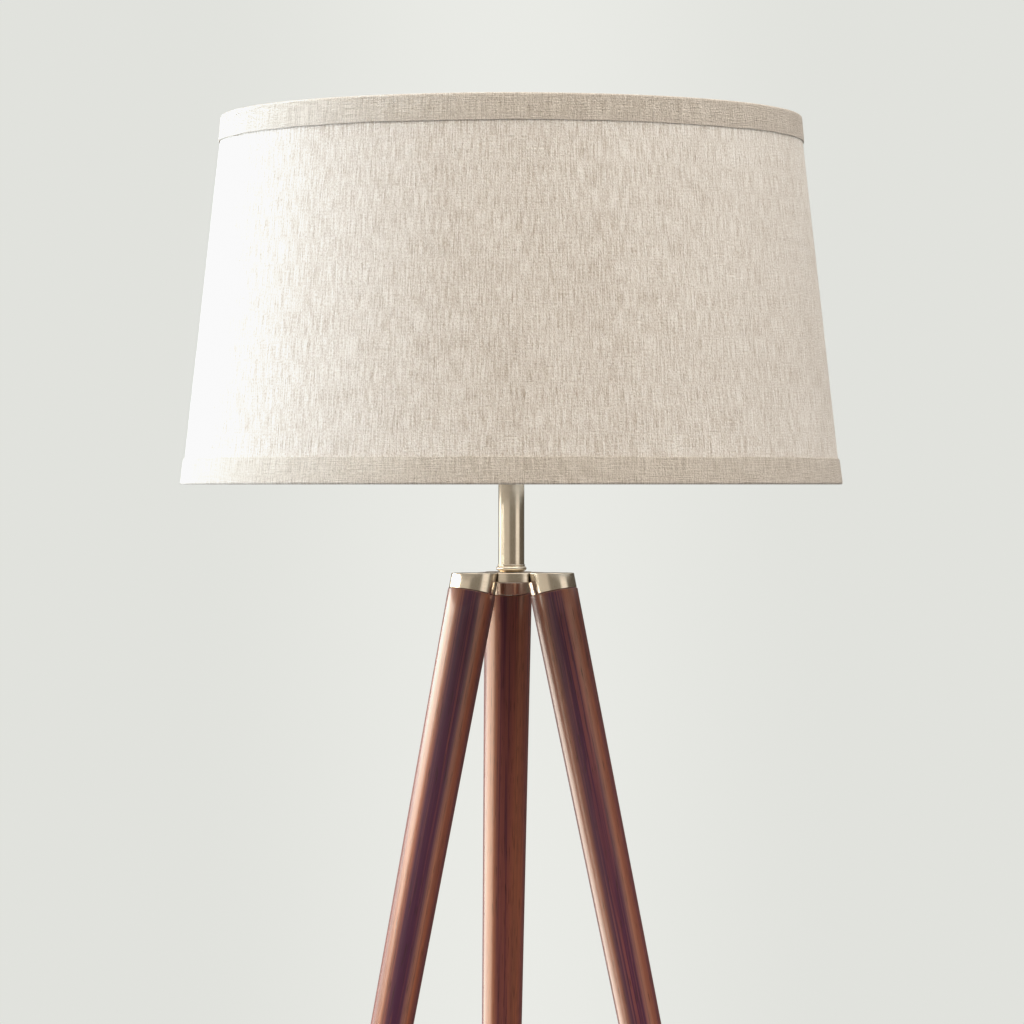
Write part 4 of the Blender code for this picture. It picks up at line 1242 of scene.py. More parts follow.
@dataclass
class Hub:
    """The plate that joins the ferrules, the collar on it and the neck tube."""

    plate_radius: float = 0.0240
    plate_low: float = 1.1780
    plate_bevel: float = 0.0007
    ferrule_radius: float = 0.0165
    leg_circle: float = 0.0298
    bushing_radius: float = 0.0070
    bushing_bore: float = 0.0032
    collar_bore: float = 0.0050
    neck_radius: float = 0.0090
    neck_wall: float = 0.0012
    washer_radius: float = 0.0100
    pipe_radius: float = 0.0048
    pipe_bore: float = 0.0036
    pipe_gap: float = 0.0001

    def outline(self, angle: Array, height: float) -> Array:
        """How far the plate reaches at each angle: its radius, or where the ray first meets one of
        the three level ellipses that the ferrules cut, whichever is nearer.

        Args:
            angle: angles round the lamp.
            height: level of the section.

        Returns:
            The reach at each angle.
        """
        across = self.ferrule_radius
        along = across / math.cos(SPLAY)
        centre = self.leg_circle + (HUB_TOP - height) * math.tan(SPLAY)
        reach = np.full(angle.shape, self.plate_radius)
        for side in LegSide:
            cos, sin = np.cos(angle - side.value), np.sin(angle - side.value)
            a = (cos / along) ** 2 + (sin / across) ** 2
            b = -2 * centre * cos / along**2
            c = (centre / along) ** 2 - 1
            root = b**2 - 4 * a * c
            near = (-b - np.sqrt(np.maximum(root, 0))) / (2 * a)
            reach = np.where((root > 0) & (near > 0), np.minimum(reach, near), reach)
        return reach

    def plate(self) -> Surface:
        """The plate's outline at each level, drawn in by the bevel at the top and the bottom, with
        the bore for the pipe through its middle.

        Returns:
            The plate, about the lamp's axis.
        """
        angle = np.linspace(0, 2 * math.pi, 540, endpoint=False)
        bevel = self.plate_bevel
        turn = np.linspace(0, math.pi / 2, 5)
        z = np.concatenate([
            [self.plate_low, self.plate_low],
            self.plate_low + bevel * (1 - np.cos(turn)),
            HUB_TOP - bevel * (1 - np.cos(turn[::-1])),
            [HUB_TOP, HUB_TOP],
        ])
        inset = np.concatenate([
            [0, bevel * 3], bevel * (1 - np.sin(turn)), bevel * (1 - np.sin(turn[::-1])), [bevel * 3, 0]
        ])
        reach = np.stack([self.outline(angle, h) for h in z]) - inset[:, None]
        reach[[0, -1]] = self.pipe_radius + self.pipe_gap
        grid = np.stack([reach * np.cos(angle), reach * np.sin(angle), z[:, None] + 0 * reach], axis=-1)
        u = np.linspace(0, 2 * math.pi, 541) * self.plate_radius
        v = np.concatenate([lengths_along(np.stack([reach[:, 0], z], axis=-1)), [0.05]])
        return grid_surface(grid, u, v, loop_rows=True)

    def collar(self) -> Surface:
        """The turned collar, round the neck.

        Returns:
            The collar, about the lamp's axis.
        """
        bore = self.collar_bore
        foot = [(bore, 1.1853, 0), (0.0083, 1.1853, 0.0002), (0.0088, 1.1860, 0.0002)]
        bead = [(0.0099, 1.1866, 0.0005), (0.0108, 1.1878, 0.0008), (0.0099, 1.1890, 0.0005)]
        lip = [(0.0092, 1.1894, 0.0002), (0.0096, 1.1902, 0.0003), (0.00935, 1.1906, 0.0001)]
        inside = [(0.00925, 1.1871, 0), (bore, 1.1869, 0)]
        corners = foot + bead + lip + inside
        return turned(eased(corners, 8, closed=True), 128, closed=True)

    def neck(self) -> Surface:
        """The neck tube, with a fine edge at each end.

        Returns:
            The tube, about the lamp's axis.
        """
        r, bore = self.neck_radius, self.neck_radius - self.neck_wall
        low, high = float(node_low("neck_tube")[2]), float(node_high("neck_tube")[2])
        corners = [(bore, low, 0.0002), (r, low, 0.0003), (r, high, 0.0003), (bore, high, 0.0002)]
        return turned(eased(corners, 5, closed=True), 144, closed=True)

    def washer(self) -> Surface:
        """The rounded washer that closes the neck.

        Returns:
            The washer, about the lamp's axis.
        """
        r, bore = self.washer_radius, self.pipe_radius + self.pipe_gap
        low, high = float(node_low("neck_washer")[2]), float(node_high("neck_washer")[2])
        corners = [(bore, low, 0.0001), (r, low, 0.0004), (r, high, 0.0006), (bore, high, 0.0002)]
        return turned(eased(corners, 5, closed=True), 96, closed=True)

    def pipe(self) -> Surface:
        """The threaded pipe, with a plain bore.

        Returns:
            The pipe, about the lamp's axis.
        """
        low, high = float(node_low("lamp_pipe")[2]), float(node_high("lamp_pipe")[2])
        wall = thread(self.pipe_radius, np.linspace(low, high, 640))
        line = np.vstack([[self.pipe_bore, low], wall, [self.pipe_bore, high]])
        return turned(line, 48, closed=True)

    def bushing(self) -> Surface:
        """The cord bushing: a flanged ring under the plate.

        Returns:
            The bushing, about the lamp's axis.
        """
        low, high = float(node_low("cord_bushing")[2]), float(node_high("cord_bushing")[2])
        r, bore = self.bushing_radius, self.bushing_bore
        corners = [(bore, low, 0.0005), (r, low, 0.0006), (r, high, 0.0001), (bore, high, 0.0001)]
        return turned(eased(corners, 6, closed=True), 64, closed=True)

    def build(self) -> None:
        """Makes the hub's pieces."""
        rows = (
            ("hub_disc", self.plate(), NICKEL, "nickel", "hub_plate", 30),
            ("neck_collar_bead", self.collar(), NICKEL, "nickel", "neck_collar", 40),
            ("neck_tube_brushed", self.neck(), NICKEL, "nickel", "neck_tube", 40),
            ("neck_cap_washer", self.washer(), NICKEL, "nickel", "neck_washer", 40),
            ("threaded_pipe", self.pipe(), ZINC, "zinc_steel", "lamp_pipe", 40),
            ("cord_bushing_ring", self.bushing(), PHENOLIC, "phenolic", "cord_bushing", 40),
        )
        for name, surface, finish, slot, node, sharp in rows:
            placed = surface.shifted(y=LAMP_AXIS_Y)
            add_piece(name, placed, finish, Body.STAND, (node,), sharp)


@dataclass
class LampHolder:
    """The brass lamp holder with its switch knob, and the bulb in it."""

    shell_radius: float = 0.0170
    shell_wall: float = 0.0008
    bead_rise: float = 0.0004
    bead_width: float = 0.0009
    cap_bore: float = 0.0050
    knob_radius: float = 0.0065
    knob_flutes: int = 16
    flute_depth: float = 0.00045
    bulb_ball: float = 0.0300
    bulb_neck: float = 0.0125
    bulb_wall: float = 0.0010
    cap_radius: float = 0.0130
    cap_pitch: float = 0.0036

    @property
    def forward(self) -> Array:
        """The axes of a part that was turned about Z and lies along -Y, as rows."""
        return np.array([[1.0, 0, 0], [0, 0, 1.0], [0, -1.0, 0]])

    def cap(self) -> Surface:
        """The holder's cap: a dome that narrows to its pipe seat, with a rolled rim.

        Returns:
            The cap, about the lamp's axis.
        """
        low, high = float(node_low("socket_cap")[2]), float(node_high("socket_cap")[2])
        bore, r = self.cap_bore, self.shell_radius
        seat = [(bore, low, 0.0003), (0.0085, low, 0.0006), (0.0098, low + 0.0035, 0.0015)]
        dome = [(0.0155, low + 0.0062, 0.0028), (0.0165, high - 0.0022, 0.0010)]
        rim = [(r, high - 0.0014, 0.0004), (r, high, 0.0004), (0.0160, high, 0.0001)]
        inside = [(0.0146, low + 0.0073, 0.0024), (0.0090, low + 0.0050, 0.0014)]
        corners = seat + dome + rim + inside + [(bore, low + 0.0040, 0.0002)]
        return turned(eased(corners, 8, closed=True), 96, closed=True)

    def shell(self) -> Surface:
        """The shell: a tube with two raised beads, whose radius rises by a bell curve at each.

        Returns:
            The shell, about the lamp's axis.
        """
        low, high = float(node_low("socket_shell")[2]), float(node_high("socket_shell")[2])
        z = np.linspace(low + 0.0003, high - 0.0003, 90)
        lower = np.exp(-(((z - low - 0.006) / self.bead_width) ** 2))
        upper = np.exp(-(((z - high + 0.005) / self.bead_width) ** 2))
        wall = self.shell_radius - self.bead_rise + self.bead_rise * (lower + upper)
        inner, edge = self.shell_radius - self.shell_wall, 0.0002
        start = [[inner, low], [wall[0] - edge, low]]
        end = [[wall[-1] - edge, high], [inner, high]]
        line = np.vstack([start, np.stack([wall, z], axis=-1), end])
        return turned(line, 96, closed=True)

    def knob(self) -> Surface:
        """The switch knob: its radius ripples with the angle into flutes, which fade at the ends.
        It lies along -Y.

        Returns:
            The knob, in place.
        """
        low, high = node_low("switch_knob"), node_high("switch_knob")
        length = float(high[1] - low[1])
        stem = [(0, 0, 0), (0.0050, 0, 0.0006), (0.0062, 0.003, 0.001)]
        line = eased(stem + [(0.0063, length, 0.0016), (0, length, 0)], 8)
        angle = np.linspace(0, 2 * math.pi, 192, endpoint=False)
        near_end = np.clip((line[:, 1] - 0.004) / 0.002, 0, 1)
        far_end = np.clip((length - 0.001 - line[:, 1]) / 0.002, 0, 1)
        fade = np.where(line[:, 0] > 0.006, near_end * far_end, 0)
        flutes = 0.5 + 0.5 * np.cos(self.knob_flutes * angle)
        radius = line[:, :1] - self.flute_depth * fade[:, None] * flutes
        grid = np.stack([radius * np.cos(angle), radius * np.sin(angle), line[:, 1:] + 0 * angle], axis=-1)
        u = np.linspace(0, 2 * math.pi, 193) * self.knob_radius
        flat = grid_surface(grid, u, lengths_along(line))
        centre = (low + high) / 2
        return flat.placed(np.array([centre[0], high[1], centre[2]]), self.forward)

    def shaft(self) -> Surface:
        """The switch's brass shaft, a plain turned rod along -Y.

        Returns:
            The shaft, in place.
        """
        low, high = node_low("switch_shaft"), node_high("switch_shaft")
        length, r = float(high[1] - low[1]), float(high[0] - low[0]) / 2
        line = eased([(0, 0, 0), (r, 0, 0.0003), (r, length, 0.0003), (0, length, 0)])
        seat = np.array([0.0, high[1], float(low[2] + high[2]) / 2])
        return turned(line, 40).placed(seat, self.forward)

    def bulb_base(self) -> Surface:
        """The bulb's screw cap: a tip, a rounded thread whose radius follows a cosine of the
        height, and a plain skirt under the glass.

        Returns:
            The cap, about the lamp's axis.
        """
        low, high = float(node_low("bulb_cap")[2]), float(node_high("bulb_cap")[2])
        z = np.linspace(low + 0.0045, high - 0.0055, 150)
        wave = 0.0004 * np.cos(2 * math.pi * (z - z[0]) / self.cap_pitch)
        wall = np.stack([self.cap_radius - 0.00045 + wave, z], axis=-1)
        tip = [(0, low, 0), (0.0044, low, 0.0008), (0.0050, low + 0.002, 0.0005)]
        foot = eased(tip + [(0.0112, low + 0.0038, 0.0012)])
        skirt = [[self.cap_radius - 0.0003, high - 0.0045], [self.cap_radius - 0.0002, high], [0, high]]
        return turned(np.vstack([foot, wall, skirt]), 96)

    def bulb_glass(self) -> Surface:
        """The bulb: a ball that runs into its neck along a cubic curve, with an inner wall that
        follows the outer one at the glass's thickness.

        Returns:
            The glass, about the lamp's axis.
        """
        low, high = float(node_low("bulb_globe")[2]), float(node_high("bulb_globe")[2])
        centre = high - self.bulb_ball
        leave = 0.85  # how far below its equator the ball ends, as an angle
        turn = np.linspace(-leave, math.pi / 2, 60)
        ball = np.stack([self.bulb_ball * np.cos(turn), centre + self.bulb_ball * np.sin(turn)], axis=-1)
        end, slope = ball[0], np.array([math.sin(leave), math.cos(leave)])
        t = np.linspace(0, 1, 24)[:-1, None]
        start = np.array([self.bulb_neck, low])
        pull = np.linalg.norm(end - start) * 0.4
        near, far = start + np.array([0, pull]), end - slope * pull
        neck = (1 - t) ** 3 * start + 3 * t * (1 - t) ** 2 * near + 3 * t**2 * (1 - t) * far + t**3 * end
        outer = np.vstack([neck, ball])
        normal = np.stack([np.gradient(outer[:, 1]), -np.gradient(outer[:, 0])], axis=-1)
        normal /= np.linalg.norm(normal, axis=1, keepdims=True)
        inner = outer - normal * self.bulb_wall
        outer[-1, 0], inner[-1, 0] = 0.0, 0.0
        inner[0, 1] = low + self.bulb_wall
        outer = np.vstack([[0, low], outer])
        inner = np.vstack([[0, low + self.bulb_wall], inner])[::-1]
        return joined(turned(outer, 96), turned(inner, 96))

    def build(self) -> None:
        """Makes the holder, its switch and the bulb."""
        rows = (
            ("holder_cap", self.cap(), BRASS, "socket_brass", "socket_cap"),
            ("holder_shell", self.shell(), BRASS, "socket_brass", "socket_shell"),
            ("bulb_screw_cap", self.bulb_base(), ALUMINIUM, "bulb_aluminium", "bulb_cap"),
            ("bulb_glass_globe", self.bulb_glass(), BULB_GLASS, "bulb_glass", "bulb_globe"),
        )
        for name, surface, finish, slot, node in rows:
            add_piece(name, surface.shifted(y=LAMP_AXIS_Y), finish, Body.STAND, (node,))
        add_piece("switch_knob_fluted", self.knob(), PHENOLIC, Body.SWITCH, ("switch_knob",))
        add_piece("switch_spindle", self.shaft(), BRASS, Body.SWITCH, ("switch_shaft",))

    def dress(self) -> None:
        """Finishes what is shut inside the holder and keeps the frame's shape."""
        dress_node("socket_liner", CARD)
        dress_node("switch_body", PHENOLIC)
        dress_node("screw_shell", SHELL_PLATE)
        dress_node("centre_contact", CONTACT_BRASS)


@dataclass
class Harp:
    """The wire harp that carries the shade, its saddle, sleeves and top stud."""

    foot_x: float = 0.0250
    wide_x: float = 0.0520
    wire: float = 0.0018
    bend_z: float = 1.2999
    wide_z: float = 1.3899
    lower_pull: float = 0.45
    upper_pull: float = 0.62
    sleeve_bore: float = 0.0021
    stud_radius: float = 0.0030
    flange_radius: float = 0.0060
    flange_height: float = 0.0020

    def wire_path(self) -> Array:
        """The harp's middle line: straight up from each foot, out to the widest point and in to the
        crown on two cubic curves a side, mirrored.

        Returns:
            (n, 3) points from the right foot to the left one.
        """
        foot = float(node_low("harp_wire")[2])
        crown = float(node_high("harp_wire")[2]) - self.wire
        rise, top = self.wide_z - self.bend_z, crown - self.wide_z
        y = LAMP_AXIS_Y
        start = np.array([[self.foot_x, y, z] for z in (foot, foot + 0.002, self.bend_z - 0.004)])
        lower = bezier([
            (self.foot_x, y, self.bend_z), (self.foot_x, y, self.bend_z + self.lower_pull * rise),
            (self.wide_x, y, self.wide_z - self.lower_pull * rise), (self.wide_x, y, self.wide_z),
        ], 40)
        upper = bezier([
            (self.wide_x, y, self.wide_z), (self.wide_x, y, self.wide_z + self.upper_pull * top),
            (self.upper_pull * self.wide_x, y, crown), (0, y, crown),
        ], 50)
        half = np.vstack([start, lower, upper[1:]])
        return np.vstack([half, half[-2::-1] * np.array([-1.0, 1, 1])])

    def sleeve(self, node: str) -> Surface:
        """A sliding sleeve: a tube with rolled ends.

        Args:
            node: the sleeve's frame node, which gives its size and place.

        Returns:
            The sleeve, in place.
        """
        low, high = node_low(node), node_high(node)
        r, bore = float(high[0] - low[0]) / 2, self.sleeve_bore
        corners = [(bore, low[2], 0.0002), (r, low[2], 0.0004), (r, high[2], 0.0004), (bore, high[2], 0.0002)]
        tube = turned(eased(corners, 5, closed=True), 48, closed=True)
        return tube.shifted(float(low[0] + high[0]) / 2, LAMP_AXIS_Y)

    def stud(self) -> Surface:
        """The crown's flange and its threaded stud, whose radius saws with the height.

        Returns:
            The stud, in place.
        """
        low, high = float(node_low("harp_stud")[2]), float(node_high("harp_stud")[2])
        flange, wide, r = low + self.flange_height, self.flange_radius, self.stud_radius
        z = np.linspace(flange + 0.0004, high - 0.0004, 220)
        base = eased([(0, low, 0), (wide, low, 0.0005), (wide, flange, 0.0004), (r, flange, 0)])
        line = np.vstack([base, thread(r, z), [0.8 * r, high], [0, high]])
        return turned(line, 48).shifted(y=LAMP_AXIS_Y)

    def build(self) -> None:
        """Makes the harp, its sleeves and its stud."""
        side = np.array([0.0, 1.0, 0.0])
        wire = rod_along(self.wire_path(), self.wire, side, 24, 0.0005)
        add_piece("harp_bow", wire, BRASS, Body.STAND, ("harp_wire",), 60)
        add_piece("harp_crown_stud", self.stud(), BRASS, Body.STAND, ("harp_stud",))
        left, right = "harp_sleeve_left", "harp_sleeve_right"
        add_piece("sleeve_tube_left", self.sleeve(left), BRASS, Body.SLEEVE_LEFT, (left,))
        add_piece("sleeve_tube_right", self.sleeve(right), BRASS, Body.SLEEVE_RIGHT, (right,))

    def dress(self) -> None:
        """Finishes the saddle, which keeps the frame's shape."""
        dress_node("harp_saddle", ZINC)


# ---------------------------------------------------------------- the shade


@dataclass
class DrumShade:
    """The tapered drum: linen over styrene, two folded tapes, two wire rings and the spider."""

    top_radius: float = 0.2000
    taper: float = 0.1114
    fabric_wall: float = 0.0010
    liner_gap: float = 0.0003
    liner_wall: float = 0.0006
    tape_width: float = 0.0180
    tape_turn: float = 0.0070
    tape_thick: float = 0.0010
    tape_gap: float = 0.0003
    ring_wire: float = 0.0015
    arm_start: float = 0.0080
    washer_bore: float = 0.0033
    lap_width: float = 0.0060
    around: int = 720

    def __post_init__(self) -> None:
        """Takes the shade's levels from the frame."""
        self.low = float(node_low("shade_fabric")[2])
        self.high = float(node_high("shade_fabric")[2])
        self.bottom = float(node_low("bottom_trim")[2])
        self.top = float(node_high("top_trim")[2])

    def radius(self, z: Array | float) -> Array | float:
        """The linen's outer radius at a height z, growing evenly downwards."""
        return self.top_radius + self.taper * (self.high - z)

    def cloth(self) -> Surface:
        """The linen as one sheet: the cone's radius, less a tenth of a millimetre, plus a slow
        unevenness that fades at the rims, and a raised strip where its ends overlap at the back.

        Returns:
            The sheet, in place.
        """
        angle = BACK + np.linspace(0, 2 * math.pi, self.around, endpoint=False)
        z = np.linspace(self.low, self.high, 61)[:, None]
        from_seam = np.abs((angle - BACK + math.pi) % (2 * math.pi) - math.pi) * self.top_radius
        lap = np.clip(1.5 - from_seam / self.lap_width, 0, 1)
        calm = np.sin(math.pi * np.clip((z - self.low) / (self.high - self.low), 0, 1)) ** 0.5
        uneven = 0.00016 * calm * ripple(angle + 1.3 * (z - self.low), (5, 9, 14, 23, 37), 3)
        uneven = uneven + 0.00008 * calm * ripple(2 * angle - 9 * z, (4, 11, 19), 8)
        r = self.radius(z) - 0.0001 + uneven + 0.00022 * lap
        grid = np.stack([r * np.cos(angle), r * np.sin(angle), z + 0 * angle], axis=-1)
        middle = float(self.radius((self.low + self.high) / 2))
        u = np.linspace(0, 2 * math.pi, self.around + 1) * middle
        return grid_surface(grid, u, (z[:, 0] - self.low) * math.hypot(1, self.taper)).shifted(y=LAMP_AXIS_Y)

    def backing(self) -> Surface:
        """The styrene as one sheet inside the linen, on the same cone.

        Returns:
            The sheet, in place.
        """
        z = np.linspace(float(node_low("shade_liner")[2]), float(node_high("shade_liner")[2]), 12)
        r = self.radius(z) - self.fabric_wall - self.liner_gap
        return turned(np.stack([r, z], axis=-1), 360).shifted(y=LAMP_AXIS_Y)

    def tape_line(self, upper: bool) -> tuple[Array, Array]:
        """The middle line of a tape, from its outer fold over the rim to its inner edge, and the
        tape's half thickness along it, which swells at the fold.

        Args:
            upper: the top tape. The bottom one runs the other way about.

        Returns:
            (radius, height) points and the half thickness at each.
        """
        half = self.tape_thick / 2
        edge = self.top if upper else self.bottom
        sign = 1.0 if upper else -1.0
        rim = edge - sign * half
        outside = self.tape_gap + half
        inside = -(self.fabric_wall + self.liner_gap + self.liner_wall + self.tape_gap + half)
        far, near = edge - sign * (self.tape_width - half), edge - sign * self.tape_turn
        corners = [
            (self.radius(far) + outside - 0.00035, far, 0), (self.radius(rim) + outside, rim, 0.0011),
            (self.radius(rim) + inside, rim, 0.0011), (self.radius(near) + inside, near, 0),
        ]
        line = eased([(float(r), float(z), e) for r, z, e in corners], 10)
        run = lengths_along(line)
        fine = np.unique(np.concatenate([run, np.linspace(0, 0.0035, 14), np.linspace(0, run[-1], 30)]))
        line = np.stack([np.interp(fine, run, line[:, 0]), np.interp(fine, run, line[:, 1])], axis=-1)
        swell = half * (1 - 0.35 * np.exp(-((fine / 0.0025) ** 2)))
        return line, swell

    def tape(self, upper: bool, seed: int) -> Surface:
        """A folded tape as a closed band: its middle line thickened to both sides, with round ends,
        and turned about the lamp's axis with a small waver in the fold.

        Args:
            upper: the top tape.
            seed: picks the waver.

        Returns:
            The band, in place.
        """
        line, half = self.tape_line(upper)
        if not upper:
            line, half = line[::-1], half[::-1]
        tangent = np.gradient(line, axis=0)
        tangent /= np.linalg.norm(tangent, axis=1, keepdims=True)
        right = np.stack([tangent[:, 1], -tangent[:, 0]], axis=-1)
        turn = np.linspace(0, math.pi, 9)[1:-1, None]
        end = line[-1] + half[-1] * (np.cos(turn) * right[-1] + np.sin(turn) * tangent[-1])
        start = line[0] + half[0] * (-np.cos(turn) * right[0] - np.sin(turn) * tangent[0])
        loop = np.vstack([line + half[:, None] * right, end, (line - half[:, None] * right)[::-1], start])
        angle = BACK + np.linspace(0, 2 * math.pi, self.around, endpoint=False)
        reach, height = loop[:, :1], loop[:, 1:]
        fold = self.top - self.tape_width if upper else self.bottom + self.tape_width
        weight = np.exp(-(((height - fold) / 0.006) ** 2)) * (reach > self.radius(height))
        waver = 0.00035 * ripple(angle, (7, 13, 22, 41), seed)
        puff = 0.00012 * ripple(angle, (17, 29, 53), seed + 1)
        r = reach + weight * np.abs(puff)
        z = height + weight * waver
        grid = np.stack([r * np.cos(angle), r * np.sin(angle), z], axis=-1)
        rim = float(self.radius(self.top if upper else self.bottom))
        u = np.linspace(0, 2 * math.pi, self.around + 1) * rim
        return grid_surface(grid, u, lengths_along(loop, closed=True), loop_rows=True).shifted(y=LAMP_AXIS_Y)

    def ring(self, node: str) -> Surface:
        """A wire ring: a small circle carried round the lamp's axis.

        Args:
            node: the ring's frame node, which gives its size and place.

        Returns:
            The ring, in place.
        """
        low, high = node_low(node), node_high(node)
        reach = float(high[0] - low[0]) / 2 - self.ring_wire
        centre = float(low[2] + high[2]) / 2
        turn = np.linspace(0, 2 * math.pi, 20, endpoint=False)
        circle = self.ring_wire * np.stack([np.cos(turn), np.sin(turn)], axis=-1)
        line = np.array([reach, centre]) + circle
        return turned(line, 360, closed=True).shifted(y=LAMP_AXIS_Y)

    def arm(self, side: LegSide) -> Surface:
        """A spider arm: level from the washer, then up in two easy bends to the ring.

        Args:
            side: which way it goes.

        Returns:
            The arm, in place.
        """
        ring_reach = float(node_high("top_ring")[0]) - self.ring_wire
        level = float(node_low("spider_washer")[2]) + 0.0005
        under_ring = float(node_low("top_ring")[2])
        corners = [
            (self.arm_start, level, 0), (ring_reach - 0.010, level, 0.006),
            (ring_reach, level + 0.010, 0.003), (ring_reach, under_ring + 0.0003, 0),
        ]
        line = eased(corners, 10)
        run = lengths_along(line)
        fine = np.unique(np.concatenate([run, np.linspace(0, run[-1], 40)]))
        r = np.interp(fine, run, line[:, 0])
        z = np.interp(fine, run, line[:, 1])
        a = side.value
        path = np.stack([r * math.cos(a), r * math.sin(a) + LAMP_AXIS_Y, z], axis=-1)
        across = np.array([math.sin(a), -math.cos(a), 0.0])
        return rod_along(path, self.ring_wire, across, 20, 0.0004)

    def washer(self) -> Surface:
        """The spider's washer, a flat ring with eased edges.

        Returns:
            The washer, in place.
        """
        low, high = node_low("spider_washer"), node_high("spider_washer")
        r, bore = float(high[0] - low[0]) / 2, self.washer_bore
        corners = [(bore, low[2], 0.0003), (r, low[2], 0.0005), (r, high[2], 0.0005), (bore, high[2], 0.0003)]
        return turned(eased(corners, 6, closed=True), 72, closed=True).shifted(y=LAMP_AXIS_Y)

    def build(self) -> None:
        """Makes the shade's pieces."""
        body = Body.SHADE
        fabric = add_piece("linen_drum", self.cloth(), LINEN, body, ("shade_fabric",))
        add_piece("styrene_backing", self.backing(), STYRENE, body, ("shade_liner",))
        upper, lower = self.tape(True, 21), self.tape(False, 34)
        top = add_piece("folded_tape_top", upper, TAPE, body, ("top_trim",), 75)
        low = add_piece("folded_tape_bottom", lower, TAPE, body, ("bottom_trim",), 75)
        rings = (
            ("ring_wire_top", self.ring("top_ring"), "top_ring"),
            ("ring_wire_bottom", self.ring("bottom_ring"), "bottom_ring"),
            ("spider_hub_washer", self.washer(), "spider_washer"),
        )
        for name, surface, node in rings:
            add_piece(name, surface, RING_COAT, body, (node,))
        for side, word in ((LegSide.REAR, "back"), (LegSide.LEFT, "left"), (LegSide.RIGHT, "right")):
            name, node = f"spider_wire_{word}", f"spider_arm_{word}"
            add_piece(name, self.arm(side), RING_COAT, body, (node,), 60)


@dataclass
class Finial:
    """The turned nickel finial that holds the shade down."""

    base_radius: float = 0.0060
    waist_radius: float = 0.0045
    knob_radius: float = 0.0070
    bore_radius: float = 0.0032
    bore_depth: float = 0.0102

    def build(self) -> None:
        """Makes the finial: a flange, a waist and a round knob, closed to a pole at the top."""
        low, high = float(node_low("finial")[2]), float(node_high("finial")[2])
        centre = high - self.knob_radius
        turn = np.linspace(-0.75, math.pi / 2, 26)
        ball = np.stack([self.knob_radius * np.cos(turn), centre + self.knob_radius * np.sin(turn)], axis=-1)
        ball[-1, 0] = 0.0
        stem = eased([
            (self.bore_radius, low, 0), (self.base_radius, low, 0.0005),
            (self.base_radius, low + 0.0022, 0.0006), (self.waist_radius, low + 0.0034, 0.0008),
            (float(ball[0, 0]), float(ball[0, 1]), 0),
        ], 6)
        bore = np.array([[0.0, low + self.bore_depth], [self.bore_radius, low + self.bore_depth]])
        line = np.vstack([bore, stem[:-1], ball])
        surface = turned(line, 96).shifted(y=LAMP_AXIS_Y)
        add_piece("finial_knob", surface, NICKEL, Body.FINIAL, ("finial",))


# ---------------------------------------------------------------- the studio


@dataclass(frozen=True)
class SoftBox:
    """A soft rectangular light that faces the lamp. Its bearing is in degrees round the lamp, to
    the right of the way to the camera, its height is that of its middle above the floor, its size
    is its width and height, and its power is in watts."""

    name: str
    bearing: float
    height: float
    size: tuple[float, float]
    power: float
    colour: Colour
    role: Role = Role.BOTH


@dataclass(frozen=True)
class ShineCard:
    """A glowing card that shows only in shiny things. It reaches from low to high above the floor,
    and glow is its brightness."""

    name: str
    bearing: float
    low: float
    high: float
    width: float
    glow: float
    colour: Colour

    def box(self) -> SoftBox:
        """The card as a light, whose power is pi times its glow times its area.

        Returns:
            The light.
        """
        size = (self.width, self.high - self.low)
        power = self.glow * math.pi * size[0] * size[1]
        middle = (self.low + self.high) / 2
        return SoftBox(self.name, self.bearing, middle, size, power, self.colour, Role.SHINE)


WINDOW = SoftBox(
    name="window_light",
    bearing=-110.0,
    height=2.00,
    size=(2.30, 2.6),
    power=172.0,
    colour=(0.73, 0.87, 1.0),
    role=Role.MATT,
)
FILL = SoftBox(
    name="fill_light",
    bearing=24.0,
    height=2.9,
    size=(1.6, 0.9),
    power=13.0,
    colour=(1.0, 0.94, 0.86),
)
CARDS = (
    ShineCard("card_upper", -105.0, 1.37, 3.30, 2.85, 10.0, (1.0, 0.96, 0.88)),
    ShineCard("card_middle", -118.0, 0.81, 1.36, 1.10, 1.7, (1.0, 0.97, 0.92)),
    ShineCard("card_lower", -105.0, -0.60, 0.80, 2.85, 6.5, (1.0, 0.92, 0.80)),
)
# The room's glow at the lamp's height: bearings in degrees and their colours.
ROOM_GLOW = (
    (-180, (0.22, 0.20, 0.18)), (-143, (0.30, 0.28, 0.25)), (-84, (0.72, 0.67, 0.58)),
    (-24, (0.70, 0.64, 0.55)), (-8, (0.27, 0.245, 0.205)), (35, (0.26, 0.235, 0.195)),
    (47, (1.15, 1.08, 0.99)), (70, (1.10, 1.03, 0.93)), (82, (0.14, 0.12, 0.10)),
    (160, (0.11, 0.10, 0.085)), (180, (0.20, 0.18, 0.16)),
)


